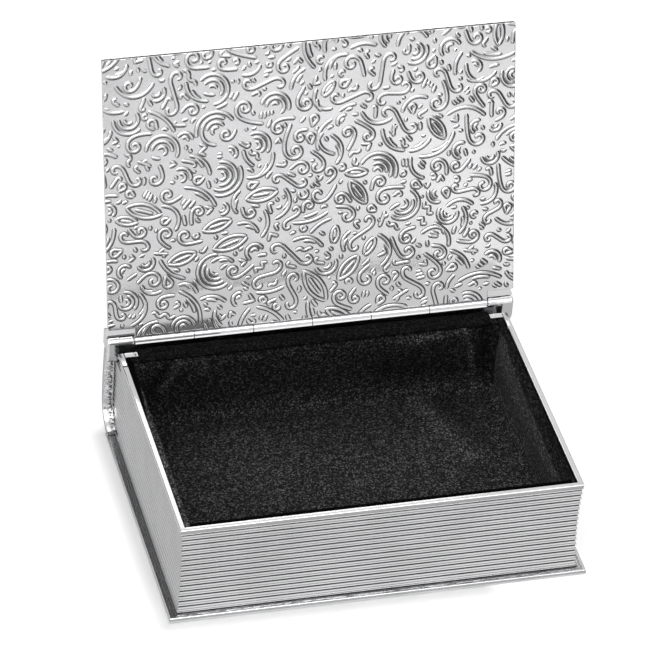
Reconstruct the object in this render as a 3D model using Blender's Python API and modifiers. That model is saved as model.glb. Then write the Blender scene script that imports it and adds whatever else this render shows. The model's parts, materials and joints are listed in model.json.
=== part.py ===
"""Book-shaped keepsake box of silver-plated metal with a velvet-lined well.

The back cover is the base plate, the ridged page walls and the spine stand on it, and the front cover is the
lid, which turns on a knuckle hinge along the top of the spine. The model is shown open, with the lid on its stop.

X runs along the spine, -Y points to the fore-edge and +Z is up. The origin is at the middle of the back cover's
underside. All lengths are in metres.
"""
import math

import bmesh
import bpy
from mathutils import Matrix, Vector

# Play left between pieces that touch or are soldered together
GAP = 0.0003
# How far a cutter runs past the face it opens
OVERRUN = 0.001
# Points nearer than this are one point
MERGE_DISTANCE = 0.000002

# Covers: the width along the spine, and the depth from the fore-edge back to the hinge axis
COVER_WIDTH = 0.150
COVER_DEPTH = 0.108
COVER_CORNER = 0.0007
LID_THICKNESS = 0.0015
LID_NOTCH = 0.0052
OPEN_ANGLE = math.radians(103.8)

# Back cover, with the felt let into its underside; its rear edge lies a little in front of the hinge axis
BASE_THICKNESS = 0.0022
BASE_SETBACK = 0.002
BASE_EDGE = 0.0004
FELT_MARGIN = 0.005
FELT_RECESS = 0.0010

# Page block, set in from the covers' edges and from the hinge axis
SIDE_OVERHANG = 0.003
FRONT_OVERHANG = 0.0024
BLOCK_SETBACK = 0.0045
BLOCK_HEIGHT = 0.0365
WALL_THICKNESS = 0.0019
REAR_WALL_THICKNESS = 0.0024
RIM_BAND = 0.0024
RIM_ROUNDING = 0.0004
RIDGE_COUNT = 16
RIDGE_DEPTH = 0.0004
WALL_HOLLOW = 0.0007

# Hinge
KNUCKLE_COUNT = 6
KNUCKLE_RADIUS = 0.0018
PIN_RADIUS = 0.0009
LEAF_THICKNESS = 0.0006
LEAF_TUCK = 0.0001
LID_LEAF_WIDTH = 0.012
BODY_LEAF_WIDTH = 0.008

# Lugs at the ends of the hinge
LUG_LENGTH = 0.0098
LUG_CHEEK = 0.0046
LUG_SHOULDER = 0.0001
LUG_END_WALL = 0.0025
LUG_DROP = 0.0090
LUG_STRAIGHT = 0.0035

# Spine, and the rail along its top
SPINE_THICKNESS = 0.0016
SPINE_BULGE = 0.0013
RAIL_RISE = 0.0026
RAIL_DROP = 0.0048
RAIL_OVERHANG = 0.0020
RAIL_ROUNDING = 0.0020
TONGUE_THICKNESS = 0.0010
TONGUE_LENGTH = 0.0040

# Corner blocks and screws
CORNER_BLOCK_SIDE = 0.008
CORNER_BLOCK_RISE = 0.005
SCREW_RADIUS = 0.0011
SCREW_HEAD_RADIUS = 0.0021
SCREW_LENGTH = 0.0045
SCREW_SLOT_WIDTH = 0.0005
SCREW_SLOT_DEPTH = 0.0004

# Lining
CARD_THICKNESS = 0.0008
VELVET_EDGE = 0.0010
WALL_CROWN = 0.0006
FLOOR_CROWN = 0.0012
PAD_DRAW = 0.0004
VELVET_DROP = 0.0010
STRIP_THICKNESS = 0.0010
STRIP_DROP = 0.0002

# Facets
ROUND_SEGMENTS = 32
RIDGE_STEPS = 5
ARC_STEPS = 8
PAD_CUTS = 5
SMOOTH_ANGLE = math.radians(40)

# Places that follow from the sizes
COVER_HALF = COVER_WIDTH / 2
BASE_BACK = (COVER_DEPTH - BASE_SETBACK) / 2
FRONT_EDGE = -BASE_BACK
AXIS_Y = FRONT_EDGE + COVER_DEPTH
BLOCK_HALF = COVER_HALF - SIDE_OVERHANG
BLOCK_FRONT = FRONT_EDGE + FRONT_OVERHANG
BLOCK_BACK = AXIS_Y - BLOCK_SETBACK
BLOCK_BOTTOM = BASE_THICKNESS + GAP
RIM_TOP = BLOCK_BOTTOM + BLOCK_HEIGHT
AXIS_Z = RIM_TOP + GAP + LID_THICKNESS
HINGE_HALF = COVER_HALF - LUG_LENGTH
KNUCKLE_PITCH = 2 * HINGE_HALF / KNUCKLE_COUNT
KNUCKLE_CLEARANCE = KNUCKLE_RADIUS + GAP
BORE_RADIUS = PIN_RADIUS + GAP
BORE_HALF = COVER_HALF - LUG_END_WALL
RAIL_FRONT = AXIS_Y + KNUCKLE_CLEARANCE
RAIL_UNDERSIDE = AXIS_Z - RAIL_DROP
SPINE_TOP = RAIL_UNDERSIDE - GAP
SPINE_BOTTOM = BASE_THICKNESS + GAP
WELL_HALF = BLOCK_HALF - WALL_THICKNESS
WELL_FRONT = BLOCK_FRONT + WALL_THICKNESS
WELL_BACK = BLOCK_BACK - REAR_WALL_THICKNESS
FLOOR_CARD_BOTTOM = BLOCK_BOTTOM + CORNER_BLOCK_RISE + GAP
LINING_BOTTOM = FLOOR_CARD_BOTTOM + CARD_THICKNESS + GAP
LINING_TOP = RIM_TOP - VELVET_DROP
VELVET_INSET = GAP + CARD_THICKNESS + GAP
PAD_INSET = VELVET_INSET + VELVET_EDGE + GAP
STRIP_BOTTOM = RIM_TOP - STRIP_DROP - STRIP_THICKNESS
REAR_WALL_TOP = STRIP_BOTTOM - GAP

# Turns an outline drawn across and up so that across is world Y, up is world Z and its thickness is along X
SIDE_ON = (math.pi / 2, 0, math.pi / 2)

# The four corners of the page block, with the way each lies along X and along Y
CORNERS = (("front_left", -1, -1), ("front_right", 1, -1), ("rear_left", -1, 1), ("rear_right", 1, 1))


def clear_scene():
    """Start from an empty scene."""
    for item in list(bpy.data.objects):
        bpy.data.objects.remove(item, do_unlink=True)


def new_collection(name):
    """Add a collection to the scene."""
    collection = bpy.data.collections.new(name)
    bpy.context.scene.collection.children.link(collection)
    return collection


def new_material(name, colour, roughness, metallic):
    """A plain material of one colour and finish."""
    material = bpy.data.materials.new(name)
    material.use_nodes = True
    shader = material.node_tree.nodes["Principled BSDF"]
    shader.inputs["Base Color"].default_value = (*colour, 1)
    shader.inputs["Roughness"].default_value = roughness
    shader.inputs["Metallic"].default_value = metallic
    material.diffuse_color = (*colour, 1)
    return material


clear_scene()
PARTS = new_collection("keepsake_box")
CUTTERS = new_collection("cutters")
SILVER = new_material("silver_plate", (0.78, 0.78, 0.79), 0.28, 1)
POLISHED = new_material("polished_silver", (0.86, 0.86, 0.87), 0.1, 1)
STEEL = new_material("steel", (0.55, 0.55, 0.56), 0.35, 1)
VELVET = new_material("black_velvet", (0.012, 0.012, 0.013), 0.95, 0)
FELT = new_material("black_felt", (0.02, 0.02, 0.02), 1, 0)
CARD = new_material("grey_card", (0.32, 0.31, 0.29), 0.9, 0)


def add_piece(name, mesh, material, place=(0, 0, 0), turn=(0, 0, 0), parent=None):
    """Put a mesh in the model as one named piece, or among the cutters when it has no material."""
    piece = bpy.data.objects.new(name, mesh)
    piece.location = place
    piece.rotation_euler = turn
    piece.parent = parent
    if material is None:
        CUTTERS.objects.link(piece)
        piece.hide_render = True
        piece.display_type = "WIRE"
    else:
        PARTS.objects.link(piece)
        mesh.materials.append(material)
    return piece


def mesh_from(name, shape, smooth=False):
    """Turn a finished bmesh into mesh data."""
    mesh = bpy.data.meshes.new(name)
    bmesh.ops.recalc_face_normals(shape, faces=shape.faces)
    shape.to_mesh(mesh)
    shape.free()
    if smooth:
        mesh.shade_smooth()
        mesh.set_sharp_from_angle(angle=SMOOTH_ANGLE)
    return mesh


def box_piece(name, low, high, material, parent=None):
    """A plain block between two corners, with its origin at its middle."""
    low = Vector(low)
    size = Vector(high) - low
    shape = bmesh.new()
    bmesh.ops.create_cube(shape, size=1, matrix=Matrix.Diagonal((*size, 1)))
    return add_piece(name, mesh_from(name, shape), material, low + size / 2, parent=parent)


def rod_piece(name, radius, length, centre, material, parent=None):
    """A round rod that lies along X, with a flat of its facets on each side rather than a corner."""
    shape = bmesh.new()
    half_facet = Matrix.Rotation(math.pi / ROUND_SEGMENTS, 4, "Z")
    along_x = Matrix.Rotation(math.pi / 2, 4, "Y")
    bmesh.ops.create_cone(
        shape, cap_ends=True, segments=ROUND_SEGMENTS, radius1=radius, radius2=radius, depth=length,
        matrix=along_x @ half_facet)
    return add_piece(name, mesh_from(name, shape, smooth=True), material, centre, parent=parent)


def turned_piece(name, profile, material, place):
    """A solid turned about Z by a Screw modifier, from a profile of (radius, height) that runs from top to bottom."""
    shape = bmesh.new()
    points = [shape.verts.new((radius, 0, height)) for radius, height in profile]
    for pair in zip(points, points[1:]):
        shape.edges.new(pair)
    piece = add_piece(name, mesh_from(name, shape), material, place)
    turn = piece.modifiers.new("turned", "SCREW")
    turn.steps = ROUND_SEGMENTS
    turn.render_steps = ROUND_SEGMENTS
    turn.use_merge_vertices = True
    turn.merge_threshold = MERGE_DISTANCE
    return piece


def arc(centre, radius, start, end, steps=ARC_STEPS):
    """Points along an arc, both ends included; radius is a number or an (across, up) pair."""
    across, up = radius if isinstance(radius, tuple) else (radius, radius)
    points = []
    for step in range(steps + 1):
        angle = start + (end - start) * step / steps
        points.append((centre[0] + across * math.cos(angle), centre[1] + up * math.sin(angle)))
    return points


def outline_mesh(name, outline, thickness):
    """Fill a flat outline, extrude it by half the thickness each way and return the welded mesh."""
    curve = bpy.data.curves.new(name, "CURVE")
    curve.dimensions = "2D"
    curve.fill_mode = "BOTH"
    curve.extrude = thickness / 2
    spline = curve.splines.new("POLY")
    spline.points.add(len(outline) - 1)
    for point, (across, up) in zip(spline.points, outline):
        point.co = (across, up, 0, 1)
    spline.use_cyclic_u = True
    guide = bpy.data.objects.new(name, curve)
    CUTTERS.objects.link(guide)
    evaluated = guide.evaluated_get(bpy.context.evaluated_depsgraph_get())
    loose = bpy.data.meshes.new_from_object(evaluated)
    bpy.data.objects.remove(guide)
    shape = bmesh.new()
    shape.from_mesh(loose)
    bpy.data.meshes.remove(loose)
    bmesh.ops.remove_doubles(shape, verts=shape.verts, dist=MERGE_DISTANCE)
    return mesh_from(name, shape, smooth=True)


def bar_piece(name, outline, length, centre_x, material):
    """A bar of constant section along X, its outline drawn in Y and Z."""
    return add_piece(name, outline_mesh(name, outline, length), material, (centre_x, 0, 0), SIDE_ON)


def cut(piece, cutter, operation="DIFFERENCE"):
    """Cut one piece with another, or join them, with an exact Boolean that stays on the piece."""
    boolean = piece.modifiers.new(cutter.name, "BOOLEAN")
    boolean.operation = operation
    boolean.solver = "EXACT"
    boolean.object = cutter


def corner_block_centre(side, end):
    """Middle of a corner block in plan, set in from the walls of the page block by the play."""
    inset = GAP + CORNER_BLOCK_SIDE / 2
    y = WELL_FRONT + inset if end < 0 else WELL_BACK - inset
    return side * (WELL_HALF - inset), y


def make_screw_holes():
    """Cutters for the countersunk holes, which run through the back cover and the corner blocks."""
    shank = SCREW_RADIUS + GAP
    head = SCREW_HEAD_RADIUS + GAP
    top = FLOOR_CARD_BOTTOM + OVERRUN
    profile = [
        (0, top), (shank, top), (shank, FELT_RECESS + head - shank), (head, FELT_RECESS),
        (head, FELT_RECESS - OVERRUN), (0, FELT_RECESS - OVERRUN)]
    holes = []
    for name, side, end in CORNERS:
        x, y = corner_block_centre(side, end)
        holes.append(turned_piece("hole_" + name, profile, None, (x, y, 0)))
    return holes


def make_screws():
    """Four countersunk screws, heads down behind the felt."""
    profile = [
        (0, SCREW_LENGTH), (SCREW_RADIUS, SCREW_LENGTH), (SCREW_RADIUS, SCREW_HEAD_RADIUS - SCREW_RADIUS),
        (SCREW_HEAD_RADIUS, 0), (0, 0)]
    slot_reach = SCREW_HEAD_RADIUS + OVERRUN
    for name, side, end in CORNERS:
        x, y = corner_block_centre(side, end)
        screw = turned_piece("base_screw_" + name, profile, STEEL, (x, y, FELT_RECESS))
        slot = box_piece(
            "slot_" + name,
            (x - slot_reach, y - SCREW_SLOT_WIDTH / 2, FELT_RECESS - OVERRUN),
            (x + slot_reach, y + SCREW_SLOT_WIDTH / 2, FELT_RECESS + SCREW_SLOT_DEPTH), None)
        cut(screw, slot)


def make_back_cover(holes):
    """The base plate with softened edges, recessed below for its felt, and drilled for the screws."""
    plate = box_piece(
        "back_cover", (-COVER_HALF, FRONT_EDGE, 0), (COVER_HALF, BASE_BACK, BASE_THICKNESS), SILVER)
    bevel = plate.modifiers.new("edges", "BEVEL")
    bevel.width = BASE_EDGE
    bevel.segments = 2
    felt_half = COVER_HALF - FELT_MARGIN
    felt_front = FRONT_EDGE + FELT_MARGIN
    felt_back = BASE_BACK - FELT_MARGIN
    recess = box_piece(
        "felt_recess", (-felt_half, felt_front, -OVERRUN), (felt_half, felt_back, FELT_RECESS), None)
    cut(plate, recess)
    for hole in holes:
        cut(plate, hole)
    box_piece(
        "base_felt", (GAP - felt_half, felt_front + GAP, 0),
        (felt_half - GAP, felt_back - GAP, FELT_RECESS - GAP), FELT)


def make_corner_blocks(holes):
    """Four blocks soldered in the bottom corners of the page block, which the screws draw down."""
    half = CORNER_BLOCK_SIDE / 2
    for (name, side, end), hole in zip(CORNERS, holes):
        x, y = corner_block_centre(side, end)
        block = box_piece(
            "corner_block_" + name, (x - half, y - half, BLOCK_BOTTOM),
            (x + half, y + half, BLOCK_BOTTOM + CORNER_BLOCK_RISE), SILVER)
        cut(block, hole)


def hollow(height):
    """How far the page walls draw in at a height above their foot."""
    share = 2 * height / BLOCK_HEIGHT - 1
    return WALL_HOLLOW * (1 - share * share)


def page_profile():
    """Section of a page wall, from its foot up the ridges to the rim: depth inwards from the outside, height."""
    ridges_top = BLOCK_HEIGHT - RIM_BAND
    pitch = ridges_top / RIDGE_COUNT
    profile = [(WALL_THICKNESS, 0)]
    for ridge in range(RIDGE_COUNT):
        for step in range(RIDGE_STEPS):
            swing = math.pi * (step / RIDGE_STEPS - 1 / 2)
            height = pitch * (ridge + (1 + math.sin(swing)) / 2)
            profile.append((hollow(height) + RIDGE_DEPTH * (1 - math.cos(swing)), height))
    band_foot = hollow(ridges_top)
    profile += [(band_foot + RIDGE_DEPTH, ridges_top), (band_foot, ridges_top)]
    profile += arc(
        (RIM_ROUNDING, BLOCK_HEIGHT - RIM_ROUNDING), RIM_ROUNDING, math.pi, math.pi / 2, RIDGE_STEPS)
    profile.append((WALL_THICKNESS, BLOCK_HEIGHT))
    return profile


def page_wall(name, length, mitred_ends, place, turn):
    """A ridged wall along its own X, outside towards -Y, with a mitre at an end where it meets the next wall."""
    profile_mesh = outline_mesh(name, page_profile(), length)
    shape = bmesh.new()
    shape.from_mesh(profile_mesh)
    bpy.data.meshes.remove(profile_mesh)
    # The outline is drawn in depth and height with its length along Z; this turns depth to +Y and length to X.
    shape.transform(Matrix(((0, 0, 1, 0), (1, 0, 0, 0), (0, 1, 0, 0), (0, 0, 0, 1))))
    for end in mitred_ends:
        normal = Vector((end, 1, 0)).normalized()
        corner = Vector((end * length / 2, 0, 0)) - normal * GAP / 2
        whole = shape.verts[:] + shape.edges[:] + shape.faces[:]
        sliced = bmesh.ops.bisect_plane(
            shape, geom=whole, plane_co=corner, plane_no=normal, clear_outer=True, dist=MERGE_DISTANCE)
        rim = [item for item in sliced["geom_cut"] if isinstance(item, bmesh.types.BMEdge)]
        bmesh.ops.holes_fill(shape, edges=rim)
    return add_piece(name, mesh_from(name, shape, smooth=True), SILVER, place, (0, 0, turn))


def side_wall_trim(side_back):
    """Cutter for a side wall's rear end: it stops short of the spine's inside, the hinge lug and the rail."""
    inside = SPINE_THICKNESS + GAP
    (foot_centre, foot_radius, join), (bulge_centre, bulge_radius, _) = spine_arcs()
    shoulder = AXIS_Z - LUG_DROP - GAP
    top = math.asin((shoulder - bulge_centre[1]) / (bulge_radius - inside))
    outline = [(BLOCK_BACK, RIM_TOP + OVERRUN), (BLOCK_BACK, shoulder)]
    outline += arc(bulge_centre, bulge_radius - inside, top, join)
    outline += arc(foot_centre, foot_radius - inside, join, -math.pi / 2)[1:]
    outline += [
        (BLOCK_BACK, SPINE_BOTTOM + inside), (BLOCK_BACK, BLOCK_BOTTOM - OVERRUN),
        (side_back + OVERRUN, BLOCK_BOTTOM - OVERRUN), (side_back + OVERRUN, RIM_TOP + OVERRUN)]
    return bar_piece("side_wall_trim", outline, COVER_WIDTH, 0, None)


def make_page_walls():
    """Ridged walls mitred at the front corners, the side ones running back into the spine, and the rear wall."""
    side_back = spine_circle()[0][0] + spine_circle()[1]
    side_length = side_back - BLOCK_FRONT
    side_centre = (side_back + BLOCK_FRONT) / 2
    page_wall("page_wall_front", 2 * BLOCK_HALF, (-1, 1), (0, BLOCK_FRONT, BLOCK_BOTTOM), 0)
    left = page_wall(
        "page_wall_left", side_length, (1,), (-BLOCK_HALF, side_centre, BLOCK_BOTTOM), -math.pi / 2)
    right = page_wall(
        "page_wall_right", side_length, (-1,), (BLOCK_HALF, side_centre, BLOCK_BOTTOM), math.pi / 2)
    trim = side_wall_trim(side_back)
    cut(left, trim)
    cut(right, trim)
    half = WELL_HALF - GAP
    outline = [
        (-half, BLOCK_BOTTOM), (half, BLOCK_BOTTOM), (half, RIM_TOP), (HINGE_HALF, RIM_TOP),
        (HINGE_HALF, REAR_WALL_TOP), (-HINGE_HALF, REAR_WALL_TOP), (-HINGE_HALF, RIM_TOP), (-half, RIM_TOP)]
    add_piece(
        "page_wall_rear", outline_mesh("page_wall_rear", outline, REAR_WALL_THICKNESS), SILVER,
        (0, BLOCK_BACK - REAR_WALL_THICKNESS / 2, 0), (math.pi / 2, 0, 0))


def spine_circle():
    """Centre and radius of the circle that the spine's outside follows, clear of the rail's tongue at the top."""
    half = (SPINE_TOP - SPINE_BOTTOM) / 2
    radius = (half * half + SPINE_BULGE * SPINE_BULGE) / (2 * SPINE_BULGE)
    inner = radius - SPINE_THICKNESS
    tongue_back = RAIL_FRONT + TONGUE_THICKNESS + GAP
    return (tongue_back - math.sqrt(inner * inner - half * half), SPINE_BOTTOM + half), radius


def spine_arcs():
    """The two arcs of the spine's outside, from its level start up, each as a centre, a radius and its last angle."""
    (bulge_y, bulge_z), radius = spine_circle()
    start_y = BLOCK_BACK + GAP
    across = start_y - bulge_y
    below = SPINE_BOTTOM - bulge_z
    # The foot's arc is level where it starts and runs into the bulge without a corner, which sets its radius.
    foot_radius = (radius * radius - across * across - below * below) / (2 * (radius + below))
    foot_z = SPINE_BOTTOM + foot_radius
    join = math.atan2(foot_z - bulge_z, start_y - bulge_y)
    crest = math.asin((SPINE_TOP - bulge_z) / radius)
    return ((start_y, foot_z), foot_radius, join), ((bulge_y, bulge_z), radius, crest)


def spine_path():
    """The spine's outside in Y and Z: a round foot that starts level behind the page block, then the long bulge."""
    (foot_centre, foot_radius, join), (bulge_centre, bulge_radius, crest) = spine_arcs()
    path = arc(foot_centre, foot_radius, -math.pi / 2, join)
    return path + arc(bulge_centre, bulge_radius, join, crest)[1:]


def make_spine():
    """The convex shell, an open surface along X with its wall put on inside."""
    shape = bmesh.new()
    points = [shape.verts.new((-COVER_HALF, y, z)) for y, z in spine_path()]
    edges = [shape.edges.new(pair) for pair in zip(points, points[1:])]
    swept = bmesh.ops.extrude_edge_only(shape, edges=edges)
    moved = [item for item in swept["geom"] if isinstance(item, bmesh.types.BMVert)]
    bmesh.ops.translate(shape, verts=moved, vec=(COVER_WIDTH, 0, 0))
    mesh = mesh_from("spine_shell", shape, smooth=True)
    shell = add_piece("spine_shell", mesh, SILVER)
    wall = shell.modifiers.new("wall", "SOLIDIFY")
    wall.thickness = SPINE_THICKNESS
    wall.offset = -1 if mesh.polygons[-1].normal.y > 0 else 1
    wall.use_even_offset = True


def make_hinge_rail():
    """The bar along the spine's top: a cradle behind the knuckles, the lid's stop and a tongue down into the shell."""
    lean = OPEN_ANGLE - math.pi / 2
    along = Vector((math.sin(lean), math.cos(lean)))
    behind = Vector((math.cos(lean), -math.sin(lean)))
    stop_foot = Vector((AXIS_Y, AXIS_Z)) + behind * GAP
    rail_top = AXIS_Z + RAIL_RISE
    stop_top = stop_foot + along * (rail_top - stop_foot.y) / along.y
    stop_start = math.pi / 2 - lean - math.asin(GAP / KNUCKLE_CLEARANCE)
    tongue_back = RAIL_FRONT + TONGUE_THICKNESS
    tongue_foot = RAIL_UNDERSIDE - TONGUE_LENGTH
    back = spine_path()[-1][0] + RAIL_OVERHANG
    outline = [(RAIL_FRONT, tongue_foot)]
    outline += arc((AXIS_Y, AXIS_Z), KNUCKLE_CLEARANCE, 0, stop_start)
    outline.append(tuple(stop_top))
    outline += arc((back - RAIL_ROUNDING, rail_top - RAIL_ROUNDING), RAIL_ROUNDING, math.pi / 2, 0)
    outline += [(back, RAIL_UNDERSIDE), (tongue_back, RAIL_UNDERSIDE), (tongue_back, tongue_foot)]
    bar_piece("hinge_rail", outline, COVER_WIDTH, 0, SILVER)


def make_lugs():
    """End lugs that close the hinge: a cheek that hangs from the pin, and a short barrel in line with the knuckles."""
    back = AXIS_Y + KNUCKLE_RADIUS
    front = AXIS_Y - KNUCKLE_RADIUS
    curve_top = AXIS_Z - LUG_STRAIGHT
    outline = arc((AXIS_Y, AXIS_Z), KNUCKLE_RADIUS, 0, math.pi, ROUND_SEGMENTS // 2)
    outline += arc((back, curve_top), (back - front, LUG_DROP - LUG_STRAIGHT), math.pi, math.pi * 3 / 2)
    barrel_start = HINGE_HALF + GAP
    barrel_end = COVER_HALF - LUG_CHEEK / 2
    for name, side in (("left", -1), ("right", 1)):
        lug = bar_piece("hinge_lug_" + name, outline, LUG_CHEEK, side * (COVER_HALF - LUG_CHEEK / 2), POLISHED)
        barrel = rod_piece(
            "lug_barrel_" + name, KNUCKLE_RADIUS - LUG_SHOULDER, barrel_end - barrel_start,
            (side * (barrel_start + barrel_end) / 2, AXIS_Y, AXIS_Z), None)
        cut(lug, barrel, "UNION")
        bore = rod_piece(
            "lug_bore_" + name, BORE_RADIUS, 2 * BORE_HALF - COVER_HALF,
            (side * COVER_HALF / 2, AXIS_Y, AXIS_Z), None)
        cut(lug, bore)


def hinge_leaf(name, low, high, first_gap, centre, parent):
    """A leaf joined to a barrel, with every other knuckle cut away from first_gap on, and bored for the pin."""
    leaf = box_piece(name, low, high, POLISHED, parent)
    barrel_half = HINGE_HALF - GAP / 2
    barrel = rod_piece(name + "_barrel", KNUCKLE_RADIUS, 2 * barrel_half, (0, *centre), None, parent)
    cut(leaf, barrel, "UNION")
    for index in range(first_gap, KNUCKLE_COUNT, 2):
        x = KNUCKLE_PITCH * (index + 1 / 2) - HINGE_HALF
        space = rod_piece(
            f"{name}_space_{index}", KNUCKLE_CLEARANCE, KNUCKLE_PITCH + GAP, (x, *centre), None, parent)
        cut(leaf, space)
    bore = rod_piece(name + "_bore", BORE_RADIUS, COVER_WIDTH, (0, *centre), None, parent)
    cut(leaf, bore)


def make_body_hinge():
    """The leaf that hangs from the knuckles against the rail, and the pin, whose ends lie in the lugs."""
    half = HINGE_HALF - GAP
    back = AXIS_Y + KNUCKLE_RADIUS - LEAF_TUCK
    low = (-half, back - LEAF_THICKNESS, AXIS_Z - BODY_LEAF_WIDTH)
    hinge_leaf("body_hinge_leaf", low, (half, back, AXIS_Z), 0, (AXIS_Y, AXIS_Z), None)
    rod_piece("hinge_pin", PIN_RADIUS, 2 * (BORE_HALF - GAP), (0, AXIS_Y, AXIS_Z), STEEL)


def make_lid():
    """Front cover and its hinge leaf, drawn closed about the hinge axis, which then carries them open."""
    axis = bpy.data.objects.new("lid_axis", None)
    PARTS.objects.link(axis)
    axis.location = (0, AXIS_Y, AXIS_Z)
    axis.rotation_euler = (-OPEN_ANGLE, 0, 0)
    hinge_edge = -(KNUCKLE_CLEARANCE + GAP / 2)
    round_y = COVER_CORNER - COVER_DEPTH
    round_x = COVER_HALF - COVER_CORNER
    outline = [
        (COVER_HALF, -LID_NOTCH), (HINGE_HALF, -LID_NOTCH), (HINGE_HALF, hinge_edge),
        (-HINGE_HALF, hinge_edge), (-HINGE_HALF, -LID_NOTCH), (-COVER_HALF, -LID_NOTCH)]
    outline += arc((-round_x, round_y), COVER_CORNER, math.pi, math.pi * 3 / 2, RIDGE_STEPS)
    outline += arc((round_x, round_y), COVER_CORNER, -math.pi / 2, 0, RIDGE_STEPS)
    cover = add_piece(
        "front_cover", outline_mesh("front_cover", outline, LID_THICKNESS), SILVER,
        (0, 0, -LID_THICKNESS / 2), parent=axis)
    rebate_half = HINGE_HALF + GAP
    rebate = box_piece(
        "leaf_rebate", (-rebate_half, -LID_LEAF_WIDTH - GAP, -LEAF_THICKNESS - GAP),
        (rebate_half, OVERRUN, OVERRUN), None, axis)
    cut(cover, rebate)
    half = HINGE_HALF - GAP
    hinge_leaf("lid_hinge_leaf", (-half, -LID_LEAF_WIDTH, -LEAF_THICKNESS), (half, 0, 0), 1, (0, 0), axis)


def pad_piece(name, width, depth, crown, place, turn):
    """A padded panel lying flat: level underside, a crowned top and sides drawn in between the corners."""
    shape = bmesh.new()
    bmesh.ops.create_cube(shape, size=1)
    bmesh.ops.subdivide_edges(shape, edges=shape.edges, cuts=PAD_CUTS, use_grid_fill=True)
    for point in shape.verts:
        u = 2 * point.co.x
        v = 2 * point.co.y
        rise = point.co.z + 1 / 2
        bow_u = 1 - u * u
        bow_v = 1 - v * v
        point.co.x = u * (width - PAD_DRAW * bow_v) / 2
        point.co.y = v * (depth - PAD_DRAW * bow_u) / 2
        point.co.z = rise * (VELVET_EDGE + crown * math.sqrt(bow_u * bow_v))
    return add_piece(name, mesh_from(name, shape, smooth=True), VELVET, place, turn)


def make_floor_lining():
    """A card that lies on the corner blocks, and the padded velvet on it."""
    card_half = WELL_HALF - GAP
    box_piece(
        "floor_card", (-card_half, WELL_FRONT + GAP, FLOOR_CARD_BOTTOM),
        (card_half, WELL_BACK - GAP, FLOOR_CARD_BOTTOM + CARD_THICKNESS), CARD)
    inset = PAD_INSET + WALL_CROWN
    front = WELL_FRONT + inset
    back = WELL_BACK - inset
    pad_piece(
        "floor_velvet", 2 * (WELL_HALF - inset), back - front, FLOOR_CROWN,
        (0, (front + back) / 2, LINING_BOTTOM), (0, 0, 0))


def make_wall_lining():
    """A card and a padded velvet on each wall, standing on the floor card, the end ones between the side ones."""
    middle_y = (WELL_FRONT + WELL_BACK) / 2
    side_span = WELL_BACK - WELL_FRONT - 2 * GAP
    end_span = 2 * (WELL_HALF - PAD_INSET)
    # Each wall: name, length, top, a point on the metal wall's inside, and its turn from the front wall
    walls = (
        ("front", end_span, LINING_TOP, (0, WELL_FRONT), 0),
        ("rear", end_span, REAR_WALL_TOP, (0, WELL_BACK), math.pi),
        ("left", side_span, LINING_TOP, (-WELL_HALF, middle_y), -math.pi / 2),
        ("right", side_span, LINING_TOP, (WELL_HALF, middle_y), math.pi / 2))
    for name, span, top, (x, y), turn in walls:
        height = top - LINING_BOTTOM
        middle = Vector((x, y, LINING_BOTTOM + height / 2))
        inwards = Matrix.Rotation(turn, 3, "Z") @ Vector((0, 1, 0))
        outline = [
            (-span / 2, -height / 2), (span / 2, -height / 2), (span / 2, height / 2), (-span / 2, height / 2)]
        add_piece(
            name + "_card", outline_mesh(name + "_card", outline, CARD_THICKNESS), CARD,
            middle + inwards * (GAP + CARD_THICKNESS / 2), (math.pi / 2, 0, turn))
        pad_piece(
            name + "_velvet", span, height, WALL_CROWN, middle + inwards * VELVET_INSET,
            (-math.pi / 2, 0, turn))


def make_hinge_strip():
    """The velvet strip that covers the rear wall's top and runs back to the hinge barrel."""
    rounding = STRIP_THICKNESS / 2
    front = WELL_BACK - PAD_INSET + GAP + rounding
    back = AXIS_Y - KNUCKLE_CLEARANCE - rounding
    middle_z = STRIP_BOTTOM + rounding
    outline = arc((front, middle_z), rounding, math.pi / 2, math.pi * 3 / 2, RIDGE_STEPS)
    outline += arc((back, middle_z), rounding, -math.pi / 2, math.pi / 2, RIDGE_STEPS)
    bar_piece("hinge_velvet", outline, 2 * (HINGE_HALF - GAP), 0, VELVET)


screw_holes = make_screw_holes()
make_back_cover(screw_holes)
make_corner_blocks(screw_holes)
make_screws()
make_page_walls()
make_spine()
make_hinge_rail()
make_lugs()
make_body_hinge()
make_lid()
make_floor_lining()
make_wall_lining()
make_hinge_strip()
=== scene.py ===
# %% [markdown]
# # A keepsake box made like a book
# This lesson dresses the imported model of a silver-plated box whose lid is the book's front cover. The
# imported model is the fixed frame: it says where every piece is and what the lid turns about. Each cell
# makes one piece or one finish, says what it is on the real box, and says why it is made the way it is.
# Lengths are in metres in the frame, and MM turns a length that is easier to think of in millimetres into
# metres.

import json
import math
import random

import bmesh
import bpy
import numpy as np
from mathutils import Matrix, Vector


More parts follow.
